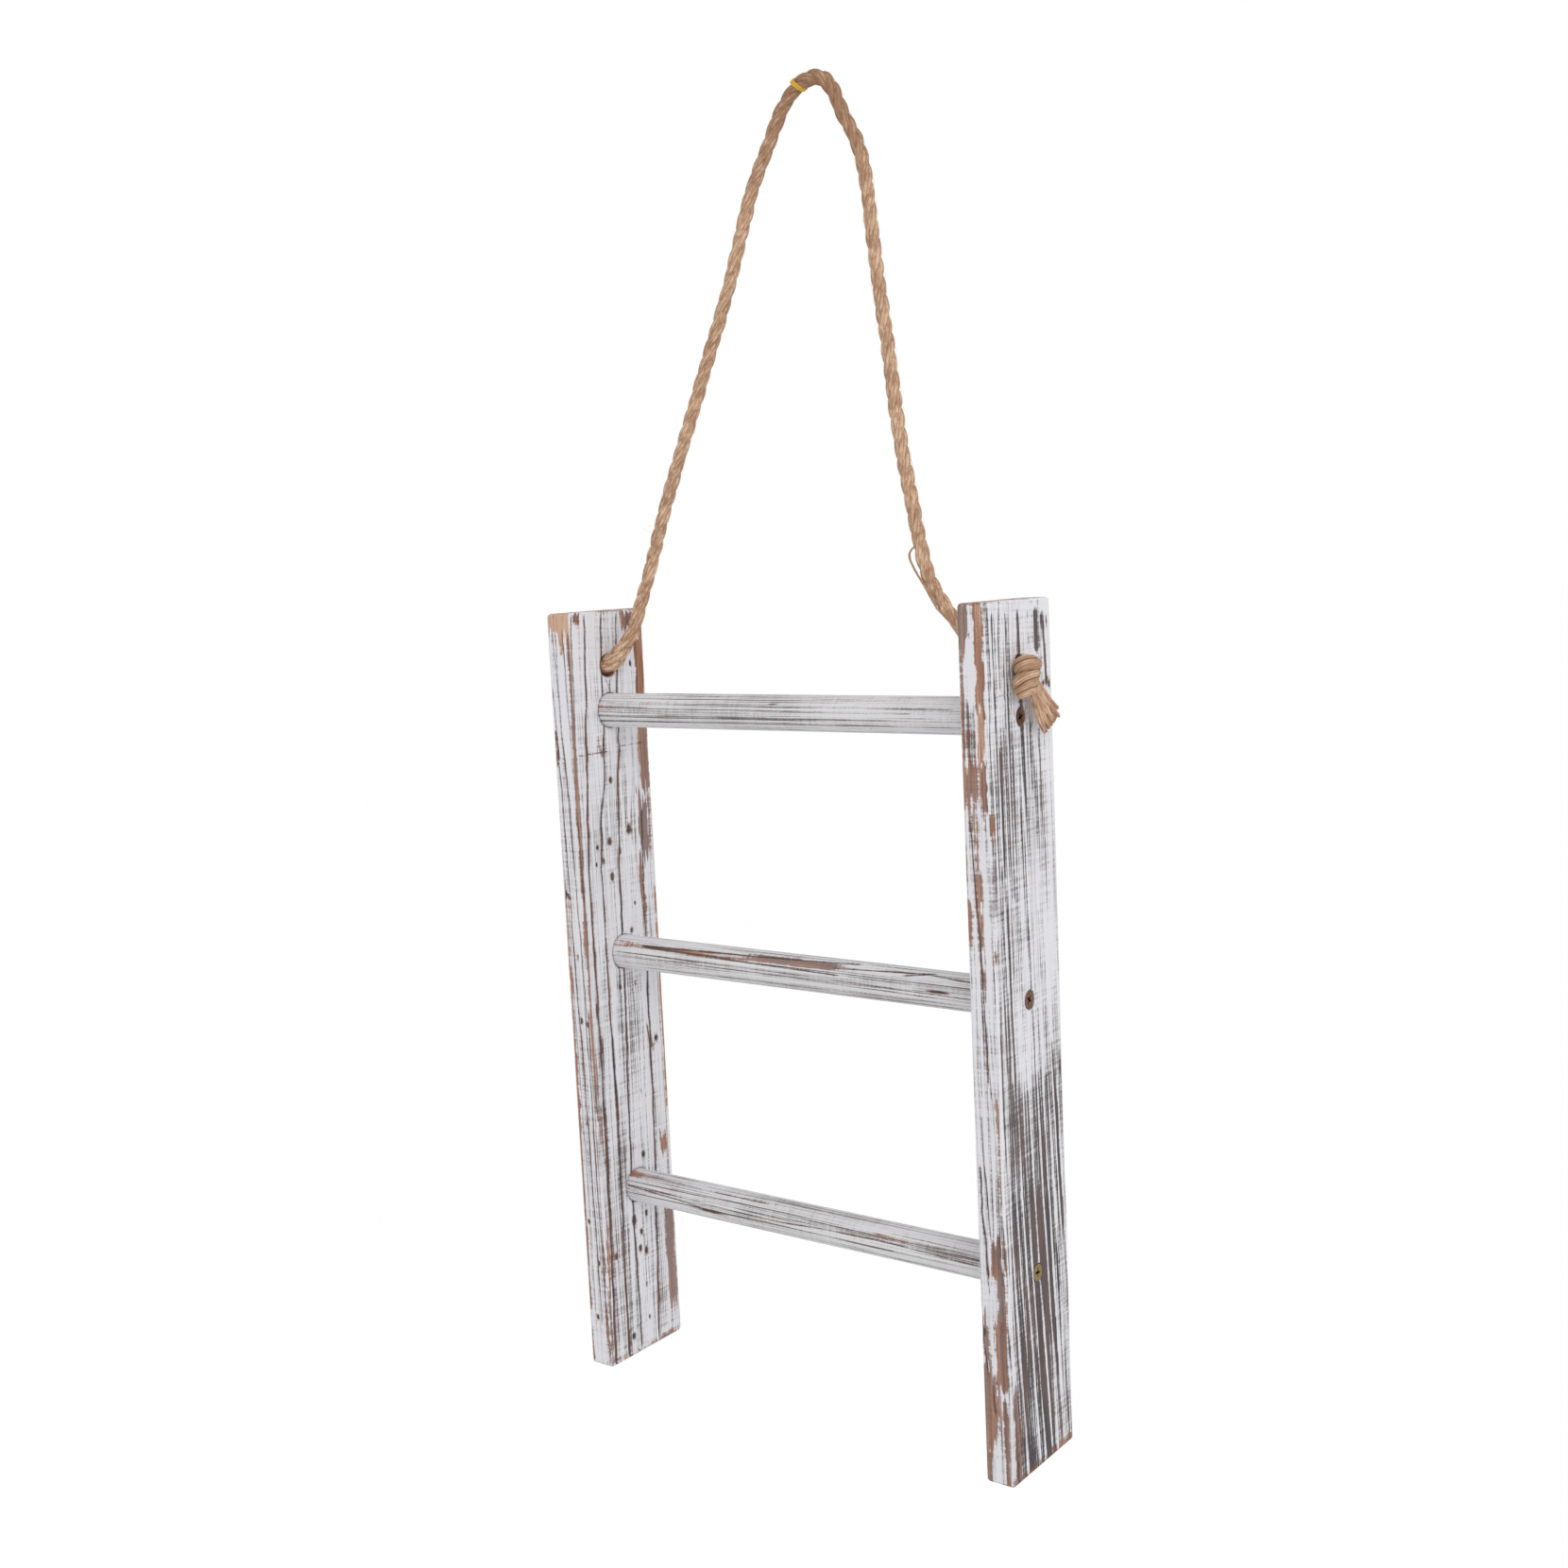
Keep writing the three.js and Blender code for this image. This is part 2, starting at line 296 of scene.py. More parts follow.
def tube_rings(
    path: Array,
    toward: Array,
    radius: Array | float,
    sides: int,
    ridge_depth: float,
    twist: float,
    bundle: int = 0,
    bundle_depth: float = 0.0,
) -> tuple[Array, Array, Array]:
    """Rings round a path, with ridges that run along it.

    A point is path + r (cos a out + sin a side), where out is 'toward' made square to the
    path and a grows round the ring, turned by twist for each millimetre along the path. A
    ridge takes four columns, at heights |sin(pi column / 4)|, and a valley takes away
    ridge_depth of the radius.

    Args:
        path: The middle of the tube, rows x 3.
        toward: Which way angle 0 faces, for each row.
        radius: The radius, one number or one for each row.
        sides: Points round the tube.
        ridge_depth: The share of the radius that a valley takes.
        twist: Radians that the columns turn for each millimetre.
        bundle: Columns in a bundle of ridges, or 0 where they aren't bundled.
        bundle_depth: The share of the radius that the valley between two bundles takes.

    Returns:
        The rings, their UV places (round once across, centimetres along) and how deep between
        the ridges each point is, which the finishes darken as painted shade.
    """
    tangent = unit(np.gradient(path, axis=0))
    out = unit(toward - (toward * tangent).sum(axis=1, keepdims=True) * tangent)
    side = np.cross(tangent, out)
    run = run_length(path)
    column = np.arange(sides)
    angle = TURN * column[None, :] / sides + twist * run[:, None]
    height = np.abs(np.sin(math.pi * column / 4))
    parting = (1 - np.abs(np.sin(math.pi * column / bundle))) ** 2 if bundle else np.zeros(sides)
    lowered = 1 - ridge_depth * (1 - height) - bundle_depth * parting
    reach = np.broadcast_to(np.reshape(radius, (-1, 1)), (len(path), 1)) * lowered
    rings = path[:, None, :] + reach[..., None] * swept(angle, out[:, None, :], side[:, None, :])
    across, along = np.meshgrid(np.arange(sides + 1) / sides, run / 10)
    valley = np.broadcast_to(np.maximum(0.7 * (1 - height), parting), (len(path), sides))
    return rings, np.stack([across, along], axis=2), valley


# Finishes


class Graph:
    """A node tree, with short ways to add nodes and join them."""

    def __init__(self, tree: bpy.types.NodeTree) -> None:
        """Works on that tree."""
        self.tree = tree

    def add(self, kind: str, **settings: object) -> bpy.types.Node:
        """A new node of that kind with those settings."""
        node = self.tree.nodes.new(kind)
        for name, value in settings.items():
            setattr(node, name, value)
        return node

    def put(self, socket: Socket, value: object) -> None:
        """Links an output to a socket, or sets the socket to a plain value."""
        if isinstance(value, Socket):
            self.tree.links.new(value, socket)
        else:
            socket.default_value = value

    def math(self, operation: str, *terms: object) -> Socket:
        """One sum of one to three terms."""
        node = self.add("ShaderNodeMath", operation=operation)
        for socket, term in zip(node.inputs, terms):
            self.put(socket, term)
        return node.outputs[0]

    def white_ray(self) -> Socket:
        """1 for a ray from the camera, off metal or through glass, and 0 for other rays."""
        ray = self.add("ShaderNodeLightPath").outputs
        seen = self.math("MAXIMUM", ray["Is Camera Ray"], ray["Is Glossy Ray"])
        return self.math("MAXIMUM", seen, ray["Is Transmission Ray"])

    def blend(self, share: object, first: bpy.types.Node, second: bpy.types.Node, end: str) -> None:
        """Joins two shaders to the end node, the second one by its share."""
        mix = self.add("ShaderNodeMixShader")
        for socket, given in zip(mix.inputs, (share, first.outputs[0], second.outputs[0])):
            self.put(socket, given)
        self.put(self.tree.nodes[end].inputs["Surface"], mix.outputs[0])


class Finish(Graph):
    """The node tree of one material, round its one shader."""

    def __init__(self, name: str) -> None:
        """Starts the material."""
        self.material = bpy.data.materials.new(name)
        self.material.use_nodes = True
        super().__init__(self.material.node_tree)
        self.shader = self.tree.nodes["Principled BSDF"]
        self.places = self.add("ShaderNodeTexCoord")

    def value(self, name: str) -> Socket:
        """The number that rides on the mesh under that name."""
        return self.add("ShaderNodeAttribute", attribute_name=name).outputs["Fac"]

    def step(
        self, value: object, low: float, high: float, start: float = 0.0, end: float = 1.0
    ) -> Socket:
        """A smooth step of a value from start at low to end at high."""
        node = self.add("ShaderNodeMapRange", interpolation_type="SMOOTHSTEP")
        names = ("Value", "From Min", "From Max", "To Min", "To Max")
        for name, given in zip(names, (value, low, high, start, end)):
            self.put(node.inputs[name], given)
        return node.outputs["Result"]

    def mix(self, share: object, first: object, second: object) -> Socket:
        """The first colour turning into the second one as share goes from 0 to 1."""
        node = self.add("ShaderNodeMix", data_type="RGBA")
        for number, given in ((0, share), (6, first), (7, second)):
            self.put(node.inputs[number], given)
        return node.outputs[2]

    def noise(self, cells: Point, detail: float = 2.0, source: str = "Object") -> Socket:
        """Noise with that many cells to the unit along each axis of the source's places."""
        mapping = self.add("ShaderNodeMapping")
        mapping.inputs["Scale"].default_value = cells
        self.put(mapping.inputs["Vector"], self.places.outputs[source])
        node = self.add("ShaderNodeTexNoise")
        node.inputs["Scale"].default_value = 1.0
        node.inputs["Detail"].default_value = detail
        self.put(node.inputs["Vector"], mapping.outputs["Vector"])
        return node.outputs["Fac"]

    def uneven(self, value: object, *parts: tuple[Socket, float]) -> Socket:
        """A value plus each noise's distance from its middle, times a weight."""
        for noise, weight in parts:
            value = self.math("MULTIPLY_ADD", self.math("SUBTRACT", noise, 0.5), weight, value)
        return value

    def finish(
        self,
        colour: Socket,
        roughness: object,
        height: Socket | None = None,
        relief: float = 0.1,
    ) -> Material:
        """Joins colour, roughness and bump to the shader.

        Args:
            colour: The surface's colour.
            roughness: The surface's roughness, a number or an output.
            height: Bump height, or none.
            relief: How many millimetres of bump a height of 1 stands for.

        Returns:
            The finished material.
        """
        self.put(self.shader.inputs["Base Color"], colour)
        self.put(self.shader.inputs["Roughness"], roughness)
        if height is not None:
            bump = self.add("ShaderNodeBump")
            bump.inputs["Distance"].default_value = relief * MM
            self.put(bump.inputs["Height"], height)
            self.put(self.shader.inputs["Normal"], bump.outputs["Normal"])
        return self.material


@dataclass(frozen=True)
class Whitewash:
    """Worn white wash on brushed softwood, with its grain along one axis.

    The wood's shape carries four values: groove, where the soft wood is brushed out, and also
    painted shade in a dark rim round the mouths of the holes; smoke, where the wash is rubbed
    off dark wood; worn, where the wood is bare; and fresh, how pale that bare wood is.
    """

    name: str
    grain_axis: int
    wash: Colour = (0.84, 0.83, 0.865, 1)
    wash_thin: Colour = (0.56, 0.545, 0.56, 1)
    groove: Colour = (0.075, 0.054, 0.054, 1)
    groove_brown: Colour = (0.17, 0.09, 0.066, 1)
    smoke: Colour = (0.06, 0.048, 0.05, 1)
    smoke_brown: Colour = (0.125, 0.086, 0.078, 1)
    bare_dark: Colour = (0.155, 0.078, 0.056, 1)
    bare: Colour = (0.36, 0.16, 0.09, 1)
    bare_pale: Colour = (0.68, 0.45, 0.325, 1)
    saw_marks: float = 0.62
    fibre_cells: tuple[float, float] = (1400, 16)

    def cells(self, across: float, along: float) -> Point:
        """Noise cells to the metre, across the grain and along it."""
        cells = [across] * 3
        cells[self.grain_axis] = along
        return tuple(cells)

    def make(self) -> Material:
        """Builds the finish from the values that the wood's shape carries."""
        g = Finish(self.name)
        fine = g.noise(self.cells(1700, 1100), 3)
        fibre = g.noise(self.cells(*self.fibre_cells), 2)
        strip = g.noise(self.cells(520, 9), 2)
        saw = g.noise(self.cells(45, 620), 2)
        patch = g.noise(self.cells(60, 22), 3)
        broad = g.noise(self.cells(22, 9), 2)
        groove = g.uneven(g.value("groove"), (fine, 0.5), (saw, 0.3), (patch, 0.5), (fibre, 0.4))
        smoke = g.uneven(g.value("smoke"), (saw, self.saw_marks), (fibre, 1.5), (patch, 0.7), (fine, 0.5))
        worn = g.uneven(g.value("worn"), (fibre, 0.9), (saw, 0.5), (patch, 1.0), (fine, 0.6))
        fresh = g.uneven(g.value("fresh"), (fibre, 1.7), (strip, 1.5), (patch, 1.3), (fine, 0.5))
        halo = g.step(groove, 0.16, 0.6, 0.0, 0.42)
        core = g.step(groove, 0.48, 0.82)
        smoke_mask = g.step(smoke, 0.26, 0.86, 0.0, 0.96)
        dust = g.step(g.value("fresh"), 0.1, 0.5, 0.82, 1.0)
        worn_mask = g.math("MULTIPLY", g.step(worn, 0.36, 0.66), dust)
        thin = g.uneven(0.0, (fibre, 1.2), (strip, 1.0), (broad, 0.8), (saw, 0.3))
        wash = g.mix(g.step(thin, 0.0, 0.5), self.wash, self.wash_thin)
        brown = g.step(patch, 0.4, 0.66)
        colour = g.mix(smoke_mask, wash, g.mix(brown, self.smoke, self.smoke_brown))
        bare = g.mix(g.step(fresh, 0.0, 0.5), self.bare_dark, self.bare)
        bare = g.mix(g.step(fresh, 0.5, 1.0), bare, self.bare_pale)
        colour = g.mix(worn_mask, colour, bare)
        colour = g.mix(halo, colour, self.groove_brown)
        colour = g.mix(core, colour, g.mix(brown, self.groove, self.groove_brown))
        off = g.math("MAXIMUM", core, g.math("MAXIMUM", worn_mask, smoke_mask))
        grit = g.math("MULTIPLY_ADD", fibre, 0.9, g.math("MULTIPLY", saw, 0.4))
        height = g.math("MULTIPLY_ADD", off, -0.8, grit)
        g.shader.inputs["Specular IOR Level"].default_value = 0.3
        return g.finish(colour, g.step(off, 0, 1, 0.72, 0.86), height, 0.16)


@dataclass(frozen=True)
class Jute:
    """Jute fibre: pale tan yarns, with painted shade in the hollows between yarns and strands."""

    name: str = "jute"
    light: Colour = (0.80, 0.56, 0.385, 1)
    tan: Colour = (0.45, 0.265, 0.165, 1)
    valley_shade: Colour = (0.155, 0.072, 0.04, 1)
    hook_brown: Colour = (0.30, 0.15, 0.09, 1)

    def make(self) -> Material:
        """Builds the finish; its streaks follow the yarns by the piece's own UV places."""
        g = Finish(self.name)
        streak = g.noise((30, 3.4, 1), 4, "UV")
        strand = g.noise((6, 1.7, 1), 2, "UV")
        patch = g.noise((120, 120, 120), 2)
        # Darker and browner near the hook, by the value that the rope carries.
        aged = g.value("aged")
        tone = g.uneven(g.math("SUBTRACT", 0.5, aged), (streak, 2.4), (strand, 1.7), (patch, 1.3))
        colour = g.mix(g.step(tone, 0.12, 0.92), self.tan, self.light)
        colour = g.mix(g.math("MULTIPLY", aged, 0.9), colour, self.hook_brown)
        # Painted shade: the hollows between yarns and strands are darkened.
        shade = g.uneven(g.value("valley"), (streak, 1.2), (strand, 0.9))
        colour = g.mix(g.step(shade, 0.3, 1.05, 0.0, 0.85), colour, self.valley_shade)
        g.shader.inputs["Specular IOR Level"].default_value = 0.12
        return g.finish(colour, g.step(tone, 0, 1, 0.95, 0.82), streak, 0.3)


@dataclass(frozen=True)
class Yarn:
    """Soft dyed yarn, with painted shade in its hollows."""

    name: str
    light: Colour
    valley_shade: Colour

    def make(self) -> Material:
        """Builds the finish, streaked along the yarn, with painted shade in its hollows."""
        g = Finish(self.name)
        streak = g.noise((14, 5, 1), 2, "UV")
        colour = g.mix(g.step(g.uneven(g.value("valley"), (streak, 1.2)), 0.0, 1.0), self.light, self.valley_shade)
        g.shader.inputs["Specular IOR Level"].default_value = 0.2
        return g.finish(colour, g.step(streak, 0.3, 0.7, 0.7, 0.9), streak, 0.05)


@dataclass(frozen=True)
class Plating:
    """Thin plating on a steel screw, dulled and stained, with painted shade in its recess."""

    name: str
    bright: Colour
    stained_and_shaded: Colour

    def make(self) -> Material:
        """Builds the finish: bright metal with stains in blots, and painted shade in the head's cross recess.
        """
        g = Finish(self.name)
        stain = g.noise((700, 700, 700), 3)
        fine = g.noise((2600, 2600, 2600), 2)
        mask = g.step(g.uneven(g.value("valley"), (stain, 1.6)), 0.0, 0.7)
        g.shader.inputs["Metallic"].default_value = 1.0
        return g.finish(g.mix(mask, self.bright, self.stained_and_shaded), g.step(mask, 0, 1, 0.34, 0.6), fine, 0.03)


# Rope


@dataclass(frozen=True)
class FuzzPatch:
    """How the loose fibres of one stretch stand off."""

    count: int
    shortest: float
    longest: float
    lift: float
    thickness: float = 0.045


def add_fibres(skin: Skin, roots: Array, along: Array, out: Array, fuzz: FuzzPatch, seed: int) -> None:
    """Adds thin curved fibres, each a three-sided spindle of five rings.

    A fibre leaves its root at u = 0 along 'along', and lifts towards 'out' by
    lift x length x u^1.6, with a sideways bow of a sine over its length.

    Args:
        skin: Where they go.
        roots: Where each fibre starts, count x 3.
        along: The way each one first runs.
        out: The way each one lifts.
        fuzz: Lengths, lift and thickness.
        seed: Picks the lengths and bows.
    """
    rng = np.random.default_rng(seed)
    count = len(roots)
    length = rng.uniform(fuzz.shortest, fuzz.longest, count)[:, None, None]
    lift = rng.uniform(0.1, 1.0, count)[:, None, None] ** 2 * fuzz.lift
    bow = rng.normal(0, 0.12, count)[:, None, None]
    sideways = np.cross(along, out)
    u = np.linspace(0, 1, 5)[None, :, None]
    middle = roots[:, None] + length * (
        along[:, None] * u + out[:, None] * lift * u**1.6 + sideways[:, None] * bow * np.sin(math.pi * u)
    )
    heading = unit(np.gradient(middle, axis=1))
    flat = unit(np.cross(heading, (out + 0.37 * sideways)[:, None]))
    rise = np.cross(heading, flat)
    radius = fuzz.thickness * np.array([0, 1, 0.9, 0.7, 0])[None, :, None]
    turn = TURN * np.arange(3) / 3
    rings = middle[:, :, None] + radius[..., None] * swept(turn, flat[:, :, None], rise[:, :, None])
    shade = rng.uniform(0, 0.35, count)
    # Each fibre's random tone rides on the value that elsewhere carries painted shade.
    for ring, valley in zip(rings, shade):
        skin.add_grid(ring, closed=True, valley=valley)


@dataclass
class HangingRope:
    """The loop of three-strand rope, its marker of yellow yarn and its loose yarn."""

    jute: Material
    yellow: Material
    diameter: float = 8.0
    strand_radius: float = 2.3
    lay_radius: float = 1.6
    pitch: float = 30.0
    yarn_twist: float = -0.21
    start_turn: float = 0.4
    hook_at: float = 370.0
    mouth_at: float = 21.0
    mouth_spread: float = 0.4
    mouth_reach: float = 13.0
    hook_spread: float = 26.0
    hook_darkening_reach: float = 95.0
    fuzz_root: float = 3.55
    marker_at: float = 356.0
    marker_turns: float = 3.2
    marker_thickness: float = 1.05
    marker_pitch: float = 0.85
    marker_tilt: float = 1.0
    marker_facing: float = 2.1
    sway: Pairs = (
        (0, 1.0), (3, 1.0), (9, 0), (16, -0.8), (25, -0.4), (40, 0.0), (60, -0.2), (120, 0.1),
        (180, -0.5), (240, -0.4), (300, -0.6), (340, -0.8), (360, -1.1), (378, -1.4), (400, -0.6),
        (420, 0.5), (440, 1.1), (465, 0.4), (490, 0.1), (530, 0.7), (565, 0.1), (585, 0.1),
        (620, 1.0), (650, 0.5), (680, 0), (697, -0.4), (706, -0.8), (713, 0), (719, 1.0), (722, 1.0),
    )
    ends: tuple[tuple[Point, ...], tuple[Point, ...]] = (
        ((-160, -28, -307.8), (-157, -28, -307.8), (-144, -28, -304.2)),
        ((114, -28, -304.2), (127, -28, -307.8), (130, -28, -307.8)),
    )
    free: tuple[Point, ...] = (
        (-139.7, -27.7, -302.5), (-136.1, -27.4, -299.6), (-127.3, -26.6, -290.4),
        (-123.9, -26.1, -285.0), (-118.1, -24.6, -268.0), (-112.9, -23.4, -255.2),
        (-101.0, -20.2, -219.0), (-86.8, -16.6, -180.0), (-73.0, -13.4, -144.0),
        (-54.8, -9.1, -96.6), (-40.2, -4.9, -49.9), (-29.4, -2.9, -27.7),
        (-21.3, -1.4, -11.6), (-14.6, -0.6, -3.2), (-7.8, -0.2, 1.9),
        (0, 0, 4.0), (7.9, -0.2, 1.9), (13.9, -0.7, -4.2),
        (19.9, -2.0, -17.8), (29.6, -3.8, -37.6), (37.4, -7.0, -73.4),
        (45.4, -11.3, -120.6), (53.6, -15.5, -168.0), (63.0, -19.7, -214.5),
        (69.4, -22.3, -243.0), (75.4, -23.9, -260.4), (83.4, -25.1, -273.2),
        (91.8, -25.9, -283.0), (98.4, -26.6, -290.8), (105.2, -27.4, -298.7),
        (109.4, -27.7, -302.1),
    )
    loose_course: tuple[Point, ...] = (
        (70.9, -21.5, -243.6), (68.6, -23.4, -245.4), (66.8, -24.6, -247.2),
        (65.9, -25.2, -249.4), (66.6, -26.0, -252.2), (67.9, -26.0, -255.0),
        (69.7, -26.2, -258.1), (72.4, -27.2, -261.3), (75.4, -28.3, -264.6),
        (78.9, -29.3, -269.3), (81.9, -29.6, -274.0), (84.6, -29.4, -278.2),
        (87.2, -28.4, -281.0),
    )

    def __post_init__(self) -> None:
        """Works out the rope's middle line and the directions square to it."""
        knots = np.array(self.ends[0] + self.free + self.ends[1], float)
        self.path = smooth_route(knots, 0.9)
        self.find_directions()
        at, aside = smooth_route(np.column_stack([self.sway, np.zeros(len(self.sway))]), 2.0)[:, :2].T
        self.path = self.path + np.interp(self.run, at, aside)[:, None] * self.beside
        self.find_directions()

    def find_directions(self) -> None:
        """Works out the distance along the middle line, its heading and what is square to it."""
        self.run = run_length(self.path)
        self.along = unit(np.gradient(self.path, axis=0))
        wall = np.array([0.0, 1.0, 0.0])
        self.over = unit(wall - (self.along @ wall)[:, None] * self.along)
        self.beside = np.cross(self.along, self.over)

    def near_hook(self, reach: float) -> Array:
        """1 on the hook and 0 from that far away, at each point of the middle line."""
        return 1 - smooth(0, reach, np.abs(self.run - self.hook_at))

    def outward(self, at: Array, turn: Array) -> tuple[Array, Array, Array]:
        """The middle, the heading and the outward direction at places along the rope."""
        middle, along, over, beside = (
            np.stack([np.interp(at, self.run, v[:, k]) for k in range(3)], axis=-1)
            for v in (self.path, self.along, self.over, self.beside)
        )
        return middle, unit(along), unit(swept(turn, over, beside))

    def make_rope(self) -> Piece:
        """Three strands that turn round the middle line, each with six yarns.

        A strand's middle is path + lay_radius (cos a over + sin a beside), where a grows by
        one turn for each pitch. Its yarns turn the other way, so they lie along the rope. The
        rope spreads a little on its hook, and where it comes out of each board's inner side.
        """
        from_board = np.minimum(self.run, self.run[-1] - self.run) - self.mouth_at
        at_mouth = self.mouth_spread * np.exp(-((from_board / self.mouth_reach) ** 2))
        spread = 1 + 0.1 * self.near_hook(self.hook_spread) + at_mouth
        # The rope is coloured darker and browner near its hook.
        aged = 0.42 * self.near_hook(self.hook_darkening_reach)[:, None]
        skin = Skin("rope_jute")
        for strand in range(3):
            turn = self.start_turn + TURN * (self.run / self.pitch + strand / 3)
            out = swept(turn, self.over, self.beside)
            swell = value_noise(self.run / 6, strand * 5.0, 11)
            radius = self.strand_radius * (0.93 + 0.14 * swell) * spread
            middle = self.path + self.lay_radius * ((0.95 + 0.1 * swell) * spread)[:, None] * out
            rings, uv, valley = tube_rings(middle, out, radius, 24, 0.1, self.yarn_twist)
            # Painted shade: the strands' sides that face the rope's middle are darkened, on top of the
            # hollows between the yarns.
            inside = 1 - smooth(1.9, 3.7, np.linalg.norm(rings - self.path[:, None], axis=2))
            uv[..., 0] += strand * 1.7
            # The value that colours the rope darker and browner near its hook.
            worn = np.broadcast_to(aged, inside.shape)
            skin.add_tube(rings, uv, valley=np.maximum(valley, inside), aged=worn)
        return skin.make(self.jute, 60)

    def make_fuzz(self) -> Piece:
        """Loose fibres all along the free rope."""
        rng = np.random.default_rng(41)
        skin = Skin("rope_fuzz")
        fuzz = FuzzPatch(1900, 1.4, 5.0, 0.34, 0.04)
        at = rng.uniform(14, self.run[-1] - 14, fuzz.count)
        middle, along, out = self.outward(at, rng.uniform(0, TURN, fuzz.count))
        side = np.cross(along, out)
        way = rng.choice([-1, 1], fuzz.count)[:, None]
        heading = unit(along * way + 0.45 * side * rng.normal(0, 1, fuzz.count)[:, None])
        add_fibres(skin, middle + self.fuzz_root * out, heading, out, fuzz, 42)
        tuft = np.array([(-107.6, -24.5, -230.5), (-106.6, -24.6, -226.5), (-104.6, -24.0, -222.2)])
        leftwards = unit(np.array([(-0.8, -0.6, 0.25), (-0.8, -0.5, -0.35), (-0.7, -0.6, 0.7)]))
        upwards = np.broadcast_to([0.0, 0.0, 1.0], tuft.shape)
        add_fibres(skin, tuft, leftwards, upwards, FuzzPatch(3, 4.0, 6.5, 0.3, 0.07), 43)
        return skin.make(self.jute, 180)

    def make_marker(self) -> Piece:
        """Yellow yarn wound slantwise round the rope beside the top bend."""
        skin = Skin("marker_yarn")
        turn = np.linspace(0, TURN * self.marker_turns, 150)
        tilt = self.marker_tilt * np.cos(turn - self.marker_facing)
        at = self.marker_at + self.marker_pitch * (turn / TURN - self.marker_turns / 2) - tilt
        middle, _, out = self.outward(at, turn)
        lumps = 0.12 * np.cos(3 * turn + 1.0)
        path = middle + (self.diameter / 2 + lumps)[:, None] * out
        rings, uv, valley = tube_rings(path, out, self.marker_thickness / 2, 12, 0.14, 0.9)
        # Painted shade in the hollows of the yellow yarn.
        skin.add_tube(rings, uv, valley=valley)
        return skin.make(self.yellow, 60)

    def make_loose_yarn(self) -> Piece:
        """The one yarn that has come away from the right leg above the board."""
        skin = Skin("rope_loose_yarn")
        path = smooth_route(np.array(self.loose_course, float), 0.7)
        share = run_length(path) / run_length(path)[-1]
        toward = np.broadcast_to([0.3, -1.0, 0.2], path.shape)
        radius = 0.56 + 0.2 * np.sin(math.pi * share) * value_noise(share * 9, 0, 5)
        rings, uv, valley = tube_rings(path, toward, radius, 12, 0.2, 0.5)
        # The loose yarn is darker all along, with painted shade in its hollows.
        skin.add_tube(rings, uv, valley=0.3 + 0.5 * valley)
        return skin.make(self.jute, 60)

    def build(self, knots: list[Piece]) -> list[Piece]:
        rope, fuzz = self.make_rope(), self.make_fuzz()
        marker, loose = self.make_marker(), self.make_loose_yarn()
        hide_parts("rope_loop")
        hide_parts("rope_marker")
        for piece in (rope, fuzz, marker, loose):
            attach(piece, "rope")
        return [rope, fuzz, marker, loose]


@dataclass(frozen=True)
class YarnBundle:
    """Yarns that fan out side by side in a knot's tail.

    Starts and ends are places across the fan and lengths are shares of the tail's length,
    for the first and the last yarn; above is how far up in the knot they start.
    """

    count: int
    starts: tuple[float, float]
    ends: tuple[float, float]
    lengths: tuple[float, float]
    depth: float
    above: float
    radius: float


